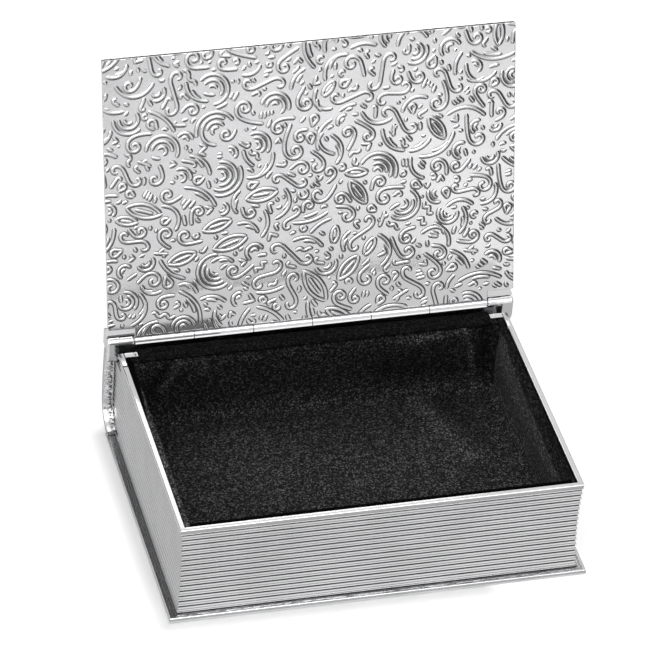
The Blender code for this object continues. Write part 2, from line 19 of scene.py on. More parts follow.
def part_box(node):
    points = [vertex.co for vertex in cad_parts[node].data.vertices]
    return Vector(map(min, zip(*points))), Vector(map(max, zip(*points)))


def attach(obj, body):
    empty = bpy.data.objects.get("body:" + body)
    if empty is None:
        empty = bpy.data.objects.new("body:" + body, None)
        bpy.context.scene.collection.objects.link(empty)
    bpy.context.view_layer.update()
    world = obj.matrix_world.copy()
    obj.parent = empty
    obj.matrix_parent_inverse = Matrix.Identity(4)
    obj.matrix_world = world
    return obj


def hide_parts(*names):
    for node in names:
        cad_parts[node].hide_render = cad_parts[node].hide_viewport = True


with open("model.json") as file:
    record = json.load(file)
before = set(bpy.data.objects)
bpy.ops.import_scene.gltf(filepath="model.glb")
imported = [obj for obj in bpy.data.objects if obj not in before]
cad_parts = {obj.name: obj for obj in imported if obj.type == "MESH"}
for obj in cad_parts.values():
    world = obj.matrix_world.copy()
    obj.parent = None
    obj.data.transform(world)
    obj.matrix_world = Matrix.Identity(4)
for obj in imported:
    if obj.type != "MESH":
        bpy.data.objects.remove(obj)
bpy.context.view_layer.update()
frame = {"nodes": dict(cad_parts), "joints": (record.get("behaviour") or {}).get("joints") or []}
scene = bpy.context.scene
MM = 0.001

# %% [markdown]
# ## Where things are
# The frame already knows the size of every piece, so the places below are read from it. Only the play
# between soldered pieces is repeated from the construction. The lid is easiest to think of lying shut,
# with the hinge axis as its origin, so LID_OPEN is the matrix that carries a point of the shut lid to
# where it stands open.

# %% Read the places from the frame
PLAY = 0.3 * MM
plate_low, plate_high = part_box("back_cover")
front_low, front_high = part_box("page_wall_front")
left_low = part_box("page_wall_left")[0]
spine_low, spine_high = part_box("spine_shell")
rail_low, rail_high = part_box("hinge_rail")
lug_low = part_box("hinge_lug_right")[0]
leaf_low, leaf_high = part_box("body_hinge_leaf")
half_width = plate_high.x
block_half = -left_low.x
block_front = front_low.y
block_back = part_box("page_wall_rear")[1].y
block_bottom = front_low.z
rim_top = front_high.z
wall_thickness = front_high.y - front_low.y
lid_joint = frame["joints"][0]
axis_point = Vector(lid_joint["pos_m"])
open_angle = math.radians(lid_joint["range_deg"][1])
LID_OPEN = Matrix.Translation(axis_point) @ Matrix.Rotation(-open_angle, 4, "X")
lid_depth = axis_point.y - plate_low.y
lid_thickness = axis_point.z - rim_top - PLAY
hinge_half = leaf_high.x + PLAY
print("lid", round(2 * half_width / MM), "by", round(lid_depth / MM), "mm, axis at", tuple(axis_point))

# %% [markdown]
# ## The camera
# The photograph was taken with a long lens from the front left and above, with the camera tipped a little
# to one side. A long lens keeps parallel edges nearly parallel, which is how product pictures are made.
# The camera looks along its own axis at a point beside the box's middle, so that the box sits low in the
# frame as it does in the photograph, and no lens shift is needed.

# %% Place the camera
VIEW_AZIMUTH = math.radians(-16.264)
VIEW_ELEVATION = math.radians(36.957)
VIEW_ROLL = math.radians(3.847)
VIEW_DISTANCE = 1.8788
VIEW_AIM = Vector((0, -3.5 * MM, 22.5 * MM))
AIM_RIGHT_OF_MIDDLE = 8.28 * MM
AIM_BELOW_MIDDLE = 48.17 * MM
LENS_MM = 294.71
SENSOR_MM = 36


def camera_axes():
    """The camera's right, up and backward directions, with its roll."""
    level = math.cos(VIEW_ELEVATION)
    backward = Vector((
        math.sin(VIEW_AZIMUTH) * level, -math.cos(VIEW_AZIMUTH) * level, math.sin(VIEW_ELEVATION)))
    right = Vector((0, 0, 1)).cross(backward).normalized()
    up = backward.cross(right)
    turned_right = math.cos(VIEW_ROLL) * right + math.sin(VIEW_ROLL) * up
    turned_up = math.cos(VIEW_ROLL) * up - math.sin(VIEW_ROLL) * right
    return turned_right, turned_up, backward


right, up, backward = camera_axes()
lens = bpy.data.cameras.new("camera")
lens.lens = LENS_MM
lens.sensor_width = SENSOR_MM
lens.clip_end = 20
camera = bpy.data.objects.new("camera", lens)
scene.collection.objects.link(camera)
place = VIEW_AIM + VIEW_DISTANCE * backward - AIM_RIGHT_OF_MIDDLE * right + AIM_BELOW_MIDDLE * up
camera.matrix_world = Matrix.Translation(place) @ Matrix((right, up, backward)).transposed().to_4x4()
scene.camera = camera
scene.view_settings.view_transform = "Standard"
print("camera at", tuple(round(value, 3) for value in place))

# %% [markdown]
# ## Small helpers for shaders
# Every finish below is a short network of nodes round one shader. These helpers keep the networks
# readable: they add a node and feed its inputs, do a sum, say where a point of the piece is, carry a
# pattern from one span of values to another, draw clouds, mix two colours, and let a pattern dent the
# light.

# %% Helpers for node networks


def new_finish(name):
    """A new material; returns it with its tree and its shader."""
    material = bpy.data.materials.new(name)
    material.use_nodes = True
    tree = material.node_tree
    return material, tree, tree.nodes["Principled BSDF"]


def feed(tree, node, inputs):
    """Set a node's inputs by name or number: a socket is linked, and any other value is written in."""
    for key, value in inputs.items():
        if isinstance(value, bpy.types.NodeSocket):
            tree.links.new(value, node.inputs[key])
        else:
            node.inputs[key].default_value = value


def add_node(tree, kind, inputs=None, **settings):
    """Add a shader node with its settings and its inputs."""
    node = tree.nodes.new("ShaderNode" + kind)
    for name, value in settings.items():
        setattr(node, name, value)
    feed(tree, node, inputs or {})
    return node


def maths(tree, operation, first, second=0):
    """One sum on two values or sockets."""
    return add_node(tree, "Math", {0: first, 1: second}, operation=operation).outputs[0]


def place_on_piece(tree):
    """Where a point of the piece is, as sockets called X, Y and Z."""
    place = add_node(tree, "TexCoord").outputs["Object"]
    return add_node(tree, "SeparateXYZ", {0: place}).outputs


def spread(tree, value, from_low, from_high, to_low, to_high):
    """Map a pattern's values from one span to another, held at the ends."""
    node = add_node(tree, "MapRange", {
        "Value": value, "From Min": from_low, "From Max": from_high, "To Min": to_low, "To Max": to_high})
    return node.outputs["Result"]


def noise(tree, size, detail=2, stretch=(1, 1, 1)):
    """A cloudy pattern whose patches are about this size in metres, drawn out by stretch along X, Y and Z."""
    place = add_node(tree, "TexCoord").outputs["Object"]
    scale = tuple(1 / (size * factor) for factor in stretch)
    mapped = add_node(tree, "Mapping", {"Vector": place, "Scale": scale}).outputs["Vector"]
    return add_node(tree, "TexNoise", {"Vector": mapped, "Scale": 1, "Detail": detail}).outputs["Fac"]


def mix_colours(tree, pattern, first, second):
    """A colour between two, by a pattern; each is three numbers or a socket."""
    ends = [end if isinstance(end, bpy.types.NodeSocket) else (*end, 1) for end in (first, second)]
    inputs = {"Factor": pattern, "A": ends[0], "B": ends[1]}
    return add_node(tree, "Mix", inputs, data_type="RGBA").outputs["Result"]


def dent(tree, shader, height, strength, distance):
    """Let a pattern raise and lower the surface in the light only, on top of the dents already there."""
    node = add_node(tree, "Bump", {"Height": height, "Strength": strength, "Distance": distance})
    before = shader.inputs["Normal"].links
    if before:
        tree.links.new(before[0].from_socket, node.inputs["Normal"])
    tree.links.new(node.outputs["Normal"], shader.inputs["Normal"])


# %% [markdown]
# ## Silver
# The whole box is silver plate on a cheap cast metal. Plate isn't a perfect mirror: it has a fine satin
# grain from polishing, faint cloudy patches where the finish has dulled, and short scratches. All of
# these are noise patterns of different sizes. The grain bumps the surface, and the clouds change the
# roughness and, a little, the colour. Polished silver, for the hinge, is the same recipe with less of
# each. Old silver is black where no polishing cloth reaches, and the same black also paints shade here.
# Meshes below carry a number on each point that darkens the metal, partly tarnish and mostly painted
# shade, and two patterns add more: tarnish and painted shade along the foot of the page walls, with
# painted dark reflections as ragged lines on the ledge, and painted shade in dashes in the corner between
# the side walls and the spine. Painting these by hand would tie them to one mesh, so they follow from the
# place.

# %% Where tarnish and painted shade gather
STREAK = 0.35 * MM
RAGGED_BY = 0.4 * MM
PAINTED_LEDGE_LINES = ((1.5 * MM, 0.75), (3.0 * MM, 0.6))
SEAM_DASH = 1.1 * MM


def ledge_shade_and_dirt(tree):
    """Tarnish and painted shade along the foot of the page walls on the back cover's ledge, in streaks, 0 to
    1.
    """
    place = place_on_piece(tree)
    beside = maths(tree, "SUBTRACT", maths(tree, "ABSOLUTE", place["X"]), block_half)
    before = maths(tree, "SUBTRACT", block_front, place["Y"])
    streaks = noise(tree, STREAK, detail=3, stretch=(9, 1, 1))
    ragged = spread(tree, streaks, 0.3, 0.7, -RAGGED_BY, RAGGED_BY)
    out = maths(tree, "ADD", maths(tree, "MAXIMUM", beside, before), ragged)
    shade_and_dirt = spread(tree, out, 0.2 * MM, 0.9 * MM, 0.8, 0.12)
    # Painted reflection: two dark lines out on the ledge.
    for middle, strength in PAINTED_LEDGE_LINES:
        off_line = maths(tree, "ABSOLUTE", maths(tree, "SUBTRACT", out, middle))
        shade_and_dirt = maths(tree, "MAXIMUM", shade_and_dirt, spread(tree, off_line, 0.1 * MM, 0.35 * MM, strength, 0))
    on_top = spread(tree, place["Z"], plate_high.z - 0.12 * MM, plate_high.z - 0.02 * MM, 0, 1)
    return maths(tree, "MULTIPLY", shade_and_dirt, on_top)


def seam_painted_shade(tree):
    """Painted shade in dashes where the spine stands out past the ends of the page walls, from 0 to 1."""
    beside = maths(tree, "ABSOLUTE", place_on_piece(tree)["X"])
    near = spread(tree, beside, block_half + 0.3 * MM, block_half + 1.8 * MM, 0.9, 0.15)
    past = spread(tree, beside, block_half - 0.6 * MM, block_half - 0.3 * MM, 0, 1)
    dashes = spread(tree, noise(tree, SEAM_DASH, stretch=(1.2, 1, 0.7)), 0.42, 0.56, 0, 1)
    return maths(tree, "MULTIPLY", maths(tree, "MULTIPLY", near, past), dashes)


print("tarnish lines lie", [round(out / MM, 1) for out, _ in PAINTED_LEDGE_LINES], "mm out on the ledge")

# %% The silver finishes
TARNISH_AND_SHADE_BLACK = (0.035, 0.035, 0.036)
TARNISH_AND_SHADE_ROUGHNESS = 0.6
SILVER_BRIGHT = (0.79, 0.79, 0.80)
SILVER_DULL = (0.72, 0.72, 0.73)
POLISHED_BRIGHT = (0.86, 0.86, 0.87)
POLISHED_DULL = (0.80, 0.80, 0.81)
CLOUD = 14 * MM
SPECK = 0.5 * MM
GRAIN = 0.12 * MM
BRUSH_MARK = 0.1 * MM
GRAIN_DEPTH = 0.02 * MM


def silver(name, bright, dull, shine, satin, grain, shade_and_dirt=None):
    """Silver of two colours and roughnesses, with a grain of some strength, and perhaps painted shade and
    dirt.
    """
    material, tree, shader = new_finish(name)
    clouds = spread(tree, noise(tree, CLOUD, detail=4), 0.35, 0.7, 0, 1)
    colour = mix_colours(tree, clouds, bright, dull)
    # Tarnish and painted shade: the number each point carries, and any added pattern, mix in black.
    tarnish_and_shade = add_node(tree, "Attribute", attribute_name="tarnish_and_shade_mark").outputs["Fac"]
    if shade_and_dirt:
        tarnish_and_shade = maths(tree, "MAXIMUM", tarnish_and_shade, shade_and_dirt(tree))
    roughness = spread(tree, noise(tree, SPECK, detail=3), 0.25, 0.75, shine, satin)
    feed(tree, shader, {
        "Metallic": 1, "Base Color": mix_colours(tree, tarnish_and_shade, colour, TARNISH_AND_SHADE_BLACK),
        "Roughness": spread(tree, tarnish_and_shade, 0, 1, roughness, TARNISH_AND_SHADE_ROUGHNESS)})
    dent(tree, shader, noise(tree, GRAIN), grain, GRAIN_DEPTH)
    brushed = noise(tree, BRUSH_MARK, detail=1, stretch=(30, 1, 1))
    dent(tree, shader, brushed, grain / 2, GRAIN_DEPTH)
    return material


def satin_plate(name, shade_and_dirt=None):
    """The satin plate of the covers and the page walls."""
    return silver(name, SILVER_BRIGHT, SILVER_DULL, shine=0.09, satin=0.18, grain=0.35, shade_and_dirt=shade_and_dirt)


SATIN_SILVER = satin_plate("satin_silver")
PLATE_SILVER = satin_plate("plate_silver", ledge_shade_and_dirt)
SPINE_SILVER = satin_plate("spine_silver", seam_painted_shade)
POLISHED_SILVER = silver(
    "polished_silver_plate", POLISHED_BRIGHT, POLISHED_DULL, shine=0.10, satin=0.18, grain=0.12)
print("finishes:", SATIN_SILVER.name, PLATE_SILVER.name, SPINE_SILVER.name, POLISHED_SILVER.name)

# %% [markdown]
# ## Steel, card, velvet and felt
# These are mostly hidden in use, but the box can be turned over or taken apart. Steel is a darker metal
# with turning marks. Card is grey fibre with a soft mottle. Velvet is a black pile with glints painted
# into its colour: a cell pattern gives each tuft its own chance, few of them bright. Light and shade on
# the lining are painted into the colour too: each point of the cloth carries a number called shade, where
# 0 is as woven, 1 is black, and less than 0 is painted light up to PAINTED_LIGHT_RANGE times as bright.
# Hairs as strands would look finer close by, but at the size of a box they would only cost time. Felt is
# the same recipe with a duller mat.

# %% Steel and card
STEEL_COLOURS = ((0.50, 0.50, 0.51), (0.60, 0.60, 0.61))
CARD_COLOURS = ((0.27, 0.26, 0.24), (0.37, 0.36, 0.34))


def steel():
    """Plain bright steel with fine turning marks."""
    material, tree, shader = new_finish("plain_steel")
    marks = noise(tree, 0.2 * MM, detail=3, stretch=(1, 1, 4))
    feed(tree, shader, {
        "Metallic": 1, "Base Color": mix_colours(tree, marks, *STEEL_COLOURS),
        "Roughness": spread(tree, marks, 0.3, 0.7, 0.28, 0.42)})
    dent(tree, shader, marks, 0.3, 0.02 * MM)
    return material


def card():
    """Grey board with fibres and a soft mottle."""
    material, tree, shader = new_finish("grey_board")
    fibres = noise(tree, 0.6 * MM, detail=5, stretch=(3, 1, 1))
    feed(tree, shader, {"Base Color": mix_colours(tree, fibres, *CARD_COLOURS), "Roughness": 0.9})
    dent(tree, shader, fibres, 0.4, 0.05 * MM)
    return material


STEEL = steel()
CARD = card()
print("finishes:", STEEL.name, CARD.name)

# %% Velvet and felt
PAINTED_LIGHT_RANGE = 1.6
TUFT_RARITY = 4.5
DULLEST_TUFT = 0.035
VELVET_TUFT = 0.44 * MM
VELVET_BLACK = (0.001, 0.001, 0.001)
VELVET_SHEEN = (0.5, 0.5, 0.52)


def pile(name, dark, light, hair, sheen, sheen_tint, lift):
    """Short standing hair: a dark cloth whose tufts are of this size, with glints painted on a few tips."""
    material, tree, shader = new_finish(name)
    place = add_node(tree, "TexCoord").outputs["Object"]
    cells = add_node(tree, "TexVoronoi", {"Vector": place, "Scale": 1 / hair})
    chance = add_node(tree, "SeparateColor", {0: cells.outputs["Color"]}).outputs[0]
    drift = spread(tree, noise(tree, 9 * MM), 0.3, 0.7, 0.85, 1.1)
    # Painted glints: a few tufts are painted bright in the base colour.
    painted_glint = maths(tree, "MULTIPLY", maths(tree, "POWER", chance, TUFT_RARITY), drift)
    painted_glint = spread(tree, painted_glint, 0, 1, DULLEST_TUFT, 1 / PAINTED_LIGHT_RANGE)
    # Painted shade and light: each point's shade number darkens the colour, or brightens it below 0.
    shade = add_node(tree, "Attribute", attribute_name="shade").outputs["Fac"]
    painted_light_level = spread(tree, shade, 1 - PAINTED_LIGHT_RANGE, 1, PAINTED_LIGHT_RANGE, 0)
    brightest = tuple(value * PAINTED_LIGHT_RANGE for value in light)
    feed(tree, shader, {
        "Base Color": mix_colours(tree, maths(tree, "MULTIPLY", painted_glint, painted_light_level), dark, brightest),
        "Roughness": 1, "Specular IOR Level": 0.03, "Sheen Weight": maths(tree, "MULTIPLY", painted_light_level, sheen),
        "Sheen Roughness": 0.45, "Sheen Tint": (*sheen_tint, 1)})
    dent(tree, shader, noise(tree, hair, detail=1), lift, 0.25 * MM)
    return material


VELVET = pile(
    "short_pile_velvet", VELVET_BLACK, (0.138, 0.138, 0.14), VELVET_TUFT,
    sheen=0.06, sheen_tint=VELVET_SHEEN, lift=1)
# Painted shade: a darker copy of the velvet, for the strip under the lid.
SHADED_VELVET = pile(
    "shaded_velvet", VELVET_BLACK, (0.024, 0.024, 0.024), VELVET_TUFT,
    sheen=0.02, sheen_tint=VELVET_SHEEN, lift=0.9)
FELT = pile(
    "pressed_felt", (0.010, 0.010, 0.010), (0.05, 0.049, 0.048), 0.5 * MM,
    sheen=0.2, sheen_tint=(0.6, 0.6, 0.6), lift=0.6)
print("finishes:", VELVET.name, SHADED_VELVET.name, FELT.name)

# %% [markdown]
# ## The floor, the light and what the metal mirrors
# Metal shows what stands round it, so the room matters as much as the lamps. The floor is white and
# partly glows, so it reads as a white page, but its glow fades out close to the box's left and front,
# which paints a soft shadow there. Two big soft boxes light the box from above and from the front left,
# as in a picture studio. A bright board in front whitens whatever slopes up towards it, and dark flags
# give the other slopes and the edges their grey. Small cards lie on the page, stand over the well and lie
# before the hinge, as a photographer's slips of paper do, to keep the black well out of the lid and the
# barrel. The cards are seen only in the metal.

# %% The floor and the room
FLOOR_HALF = 4.0
FLOOR_GLOW = 0.04
PAGE_GLOW = 0.50
ROOM_LIGHT = 0.5
PAINTED_SHADOW_REACH = 8 * MM
WHITE = (1, 1, 1, 1)
SQUARE = ((-1, -1), (1, -1), (1, 1), (-1, 1))


def flat_square(name, half_across, half_up):
    """A flat rectangle round its own origin."""
    shape = bmesh.new()
    shape.faces.new([shape.verts.new((x * half_across, y * half_up, 0)) for x, y in SQUARE])
    mesh = bpy.data.meshes.new(name)
    shape.to_mesh(mesh)
    shape.free()
    square = bpy.data.objects.new(name, mesh)
    scene.collection.objects.link(square)
    return square


def out_of_painted_shadow(tree):
    """How far out of the painted shadow a place on the floor is: 0 at the box's left and front, 1 well out.
    """
    place = place_on_piece(tree)
    squares = []
    for axis, low, high in (("X", plate_low.x, 0.5 * plate_high.x), ("Y", plate_low.y, plate_high.y)):
        off_middle = maths(tree, "ABSOLUTE", maths(tree, "SUBTRACT", place[axis], (low + high) / 2))
        outside = maths(tree, "MAXIMUM", maths(tree, "SUBTRACT", off_middle, (high - low) / 2), 0)
        squares.append(maths(tree, "POWER", outside, 2))
    distance = maths(tree, "POWER", maths(tree, "ADD", *squares), 0.5)
    return spread(tree, distance, 0, PAINTED_SHADOW_REACH, 0, 1)


def make_floor():
    """A matt white floor that glows a little, with the glow fading to paint a soft shadow beside the box."""
    floor = flat_square("studio_floor", FLOOR_HALF, FLOOR_HALF)
    material, tree, shader = new_finish("white_floor")
    seen = add_node(tree, "LightPath").outputs["Is Camera Ray"]
    # Painted shadow: the camera's glow fades to none at the box's left and front.
    page = spread(tree, out_of_painted_shadow(tree), 0, 1, 0, PAGE_GLOW)
    feed(tree, shader, {
        "Base Color": (0.92, 0.92, 0.92, 1), "Roughness": 1, "Specular IOR Level": 0,
        "Emission Color": WHITE, "Emission Strength": spread(tree, seen, 0, 1, FLOOR_GLOW, page)})
    floor.data.materials.append(material)


def white_room(strength):
    """A world that is white to the camera, to metal and to glass, and lights cloth at its own strength."""
    world = bpy.data.worlds.new("room")
    world.use_nodes = True
    tree = world.node_tree
    tree.nodes.clear()
    path = add_node(tree, "LightPath").outputs
    seen = maths(tree, "MAXIMUM", path["Is Camera Ray"], path["Is Glossy Ray"])
    seen = maths(tree, "MAXIMUM", seen, path["Is Transmission Ray"])
    level = spread(tree, seen, 0, 1, strength, 1)
    background = add_node(tree, "Background", {"Color": WHITE, "Strength": level})
    add_node(tree, "OutputWorld", {0: background.outputs[0]})
    scene.world = world


make_floor()
white_room(ROOM_LIGHT)
print("the floor is", round(2 * FLOOR_HALF), "m across")

# %% Lamps and mirrored cards
STAGE_MIDDLE = Vector((0, 0, 50 * MM))
CARD_BLACK = (0.03, 0.03, 0.03, 1)
LAID = (1, 0, 0, 0)
STOOD = (math.sqrt(0.5), math.sqrt(0.5), 0, 0)


def face_middle(item, place):
    """Put a lamp or card at a place with its -Z towards the middle of the stage."""
    item.location = place
    item.rotation_mode = "QUATERNION"
    item.rotation_quaternion = (STAGE_MIDDLE - Vector(place)).to_track_quat("-Z", "Y")


def soft_box(name, place, width, height, watts):
    """A rectangular lamp turned to the box."""
    lamp = bpy.data.lights.new(name, "AREA")
    lamp.shape = "RECTANGLE"
    lamp.size = width
    lamp.size_y = height
    lamp.energy = watts
    item = bpy.data.objects.new(name, lamp)
    scene.collection.objects.link(item)
    face_middle(item, place)


def mirrored_card(name, place, half_across, half_up, brightness, turn=None):
    """A card that only metal sees, black at no brightness; it faces the box unless it is laid or stood."""
    board = flat_square(name, half_across, half_up)
    face_middle(board, place)
    if turn:
        board.rotation_quaternion = turn
    material, tree, shader = new_finish(name)
    feed(tree, shader, {
        "Base Color": CARD_BLACK, "Roughness": 1, "Emission Color": WHITE, "Emission Strength": brightness})
    board.data.materials.append(material)
    board.visible_camera = False
    board.visible_shadow = False
    board.visible_diffuse = False


soft_box("soft_box_above", (-0.15, -0.60, 1.20), 1.1, 0.8, 6.4)
soft_box("soft_box_left", (-1.1, -0.7, 0.75), 0.7, 0.7, 3.4)
mirrored_card("board_front", (-0.28, -0.95, 0.86), 1.00, 0.62, 2.2)
mirrored_card("board_behind", (0.32, 1.10, 0.90), 1.00, 0.34, 0.80)
mirrored_card("flag_front", (0, -1.15, 0.43), 1.3, 0.10, 0)
mirrored_card("flag_behind", (0.1, 1.3, 0.27), 1.6, 0.29, 0)
mirrored_card("flag_right", (1.3, 0.1, 0.40), 0.9, 0.40, 0)
mirrored_card("flag_near", (0.34, -0.10, 0.16), 0.30, 0.17, 0)
mirrored_card("flag_low", (0.265, -0.10, 0.002), 0.065, 0.26, 0, LAID)
mirrored_card("grey_page", (0, 0.03, 0.001), 0.19, 0.20, 0.48, LAID)
mirrored_card("left_page", (-0.14, 0.03, 0.0015), 0.062, 0.20, 0.66, LAID)
above_well = (0, block_back - 8 * MM, rim_top + 7.5 * MM)
mirrored_card("well_card", above_well, block_half, 8.5 * MM, 0.72, STOOD)
mirrored_card("barrel_card", (0, block_back, rim_top + 0.6 * MM), hinge_half, 2.4 * MM, 1.1, LAID)
mirrored_card("page_right", (0.34, -0.62, 0.001), 0.20, 0.44, 1.05, LAID)
left_of_well = (-54 * MM, block_back - 7 * MM, rim_top + 2.5 * MM)
mirrored_card("corner_flag", left_of_well, 22 * MM, 3.5 * MM, 0.15, STOOD)

# %% [markdown]
# ## Making a piece
# Most pieces are drawn as a bmesh, which is Blender's editable mesh. Two helpers finish them all: they
# make the mesh, round the shading except at real corners, give the finish, let the piece ride on its
# body, and hide the imported nodes it stands for. Weighted normals let a broad flat face keep its own
# shading beside the narrow faces of a rounded edge, so flat metal reflects as flat metal.

# %% The helpers that finish a piece
SMOOTH_ANGLE = math.radians(38)


def finish_mesh(name, shape, angle=SMOOTH_ANGLE):
    """Turn a bmesh into a mesh with smooth shading between its corners."""
    mesh = bpy.data.meshes.new(name)
    bmesh.ops.recalc_face_normals(shape, faces=shape.faces)
    shape.to_mesh(mesh)
    shape.free()
    mesh.shade_smooth()
    mesh.set_sharp_from_angle(angle=angle)
    return mesh


def add_piece(name, mesh, finish, body, stands_for=(), weighted=False):
    """Put a finished mesh in the scene as a piece of the box."""
    piece = bpy.data.objects.new(name, mesh)
    scene.collection.objects.link(piece)
    mesh.materials.clear()
    mesh.materials.append(finish)
    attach(piece, body)
    if stands_for:
        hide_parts(*stands_for)
    if weighted:
        normals = piece.modifiers.new("weighted", "WEIGHTED_NORMAL")
        normals.keep_sharp = True
    print(name, "has", len(mesh.polygons), "faces")
    return piece


def carved(name, mesh, cutters):
    """The mesh with other meshes cut out of it, by exact Booleans that are applied."""
    body = bpy.data.objects.new(name, mesh)
    scene.collection.objects.link(body)
    tools = []
    for number, cutter in enumerate(cutters):
        tool = bpy.data.objects.new(f"{name}_cutter_{number}", cutter)
        scene.collection.objects.link(tool)
        boolean = body.modifiers.new(tool.name, "BOOLEAN")
        boolean.solver = "EXACT"
        boolean.object = tool
        tools.append(tool)
    seen = body.evaluated_get(bpy.context.evaluated_depsgraph_get())
    result = bpy.data.meshes.new_from_object(seen)
    for item in [body, *tools]:
        bpy.data.objects.remove(item)
    result.set_sharp_from_angle(angle=SMOOTH_ANGLE)
    return result


def join(name, meshes):
    """One mesh that holds several closed ones."""
    shape = bmesh.new()
    for mesh in meshes:
        shape.from_mesh(mesh)
    return finish_mesh(name, shape)


# %% [markdown]
# ## Sections and slabs
# Nearly all the metal here is bar, sheet or turned work, so a few small makers cover it: an arc of
# points, a loft that joins rings of points, a slab with rounded edges that is pushed up from an outline,
# and a lathe that turns a section about the hinge's direction.

# %% Sections, slabs and turned work
SAME_POINT = 0.0005 * MM


def arc(centre, radius, start, end, steps):
    """Points along an arc, both ends included."""
    angles = [start + (end - start) * step / steps for step in range(steps + 1)]
    return [(centre[0] + radius * math.cos(angle), centre[1] + radius * math.sin(angle)) for angle in angles]


def skin(shape, near, far):
    """Faces between two rings of as many points."""
    count = len(near)
    for index in range(count):
        following = (index + 1) % count
        shape.faces.new((near[index], near[following], far[following], far[index]))


def loft(shape, rings, paired_ends=False, marks=None):
    """Join closed rings of points into a skin, its ends filled as one face or by pairs across a thin ring.

    With marks, each point of each ring has a darkening, of tarnish and painted shade."""
    layer = shape.verts.layers.float.new("tarnish_and_shade_mark") if marks else None
    rows = []
    for number, ring in enumerate(rings):
        row = [shape.verts.new(point) for point in ring]
        if marks:
            for vertex, mark in zip(row, marks[number]):
                vertex[layer] = mark
        rows.append(row)
    for near, far in zip(rows, rows[1:]):
        skin(shape, near, far)
    count = len(rows[0])
    for row in (rows[0], rows[-1]):
        if paired_ends:
            for index in range(count // 2 - 1):
                shape.faces.new((row[index], row[index + 1], row[count - 2 - index], row[count - 1 - index]))
        else:
            shape.faces.new(row)


def slab(name, outline, low, high, rounding, segments=3):
    """A plate of this outline between two heights, with its upper and lower edges rounded."""
    shape = bmesh.new()
    foot = shape.faces.new([shape.verts.new((x, y, low)) for x, y in outline])
    top = bmesh.ops.extrude_face_region(shape, geom=[foot])
    moved = [item for item in top["geom"] if isinstance(item, bmesh.types.BMVert)]
    bmesh.ops.translate(shape, verts=moved, vec=(0, 0, high - low))
    level = [edge for edge in shape.edges if abs(edge.verts[0].co.z - edge.verts[1].co.z) < (high - low) / 2]
    if rounding:
        bmesh.ops.bevel(shape, geom=level, offset=rounding, segments=segments, profile=0.5, affect="EDGES")
    return finish_mesh(name, shape)


def rectangle(low_x, low_y, high_x, high_y):
    """The corners of a rectangle in order."""
    return [(low_x, low_y), (high_x, low_y), (high_x, high_y), (low_x, high_y)]


def turned(name, section, centre, segments=48):
    """Turn a closed section of (x, radius) points about a line along X through a centre in Y and Z."""
    shape = bmesh.new()
    rows = []
    for step in range(segments):
        angle = 2 * math.pi * step / segments
        across = math.cos(angle)
        up = math.sin(angle)
        rows.append([shape.verts.new((x, centre[0] + radius * across, centre[1] + radius * up))
                     for x, radius in section])
    for near, far in zip(rows, rows[1:] + rows[:1]):
        skin(shape, near, far)
    bmesh.ops.remove_doubles(shape, verts=shape.verts, dist=SAME_POINT)
    return finish_mesh(name, shape)


# %% [markdown]
# ## The spine's curve
# The spine is one sheet bent to two arcs: a tight foot that starts level on the back cover, and the long
# bulge of a book's back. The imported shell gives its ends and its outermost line, and the two arcs follow
# from those. Both the spine and the rear ends of the side walls need this curve, so it comes first.

# %% The spine's two arcs
SPINE_SHEET = 1.6 * MM
SPINE_BULGE = 1.3 * MM
spine_half = (spine_high.z - spine_low.z) / 2
bulge_radius = (spine_half ** 2 + SPINE_BULGE ** 2) / (2 * SPINE_BULGE)
bulge_centre = (spine_high.y - bulge_radius, spine_low.z + spine_half)
foot_across = spine_low.y - bulge_centre[0]
foot_radius = (bulge_radius ** 2 - foot_across ** 2 - spine_half ** 2) / (2 * (bulge_radius - spine_half))
foot_centre = (spine_low.y, spine_low.z + foot_radius)
foot_join = math.atan2(foot_centre[1] - bulge_centre[1], foot_across)
bulge_top = math.asin(spine_half / bulge_radius)


def spine_curve(inset, steps=40):
    """The spine's section line from its level start to its top, set in from the outside."""
    foot = arc(foot_centre, foot_radius - inset, -math.pi / 2, foot_join, steps // 2)
    bulge = arc(bulge_centre, bulge_radius - inset, foot_join, bulge_top, steps)
    return foot + bulge[1:]


def rear_end(height):
    """Where a side wall ends at this height: inside the spine, or at the block's back beside the lug."""
    inset = SPINE_SHEET + PLAY
    if height > lug_low.z - PLAY or height < spine_low.z + inset:
        return block_back
    if height > bulge_centre[1] + (bulge_radius - inset) * math.sin(foot_join):
        return bulge_centre[0] + math.sqrt((bulge_radius - inset) ** 2 - (height - bulge_centre[1]) ** 2)
    return foot_centre[0] + math.sqrt((foot_radius - inset) ** 2 - (height - foot_centre[1]) ** 2)


print("spine bulge radius", round(bulge_radius / MM), "mm, foot radius", round(foot_radius / MM, 1), "mm")

# %% [markdown]
# ## The page walls
# The front and both sides of the block are cast to look like the edges of pages: fifteen hollow flutes
# with sharp lips between them, and the whole wall draws in a little at half height, as a real book's
# does. FLUTE gives one flute from its upper lip down: how far down it, how deep in millimetres, and how
# dark, and each flute is a hair narrower than the one above it. A flute is undercut below its lip,
# which gives the dark line, and slopes out to the next lip, which gives the white line above it. A wall
# is one section pushed along its length. The section is a list of levels, each with an outer and an inner
# point, and every level has its own two ends: a mitre at a front corner, and the inside of the spine at
# the rear. Cast lips are never dead straight, so each one wanders by a few hundredths of a millimetre.
# Each point also carries a number, which the silver's shader reads to darken the metal. It is a little
# tarnish where a polishing cloth can't reach and mostly painted shade: under the lips, along the foot,
# at the last cuts before the spine, as a painted darker band on each flute's flat and, on the side
# walls, along a faint line on the slope that faces the light.

# %% The section of a page wall
FLUTE_COUNT = 15
RIM_BAND = 2.1 * MM
FLUTE_PITCH = 2.33 * MM
PITCH_LOSS = 0.011 * MM
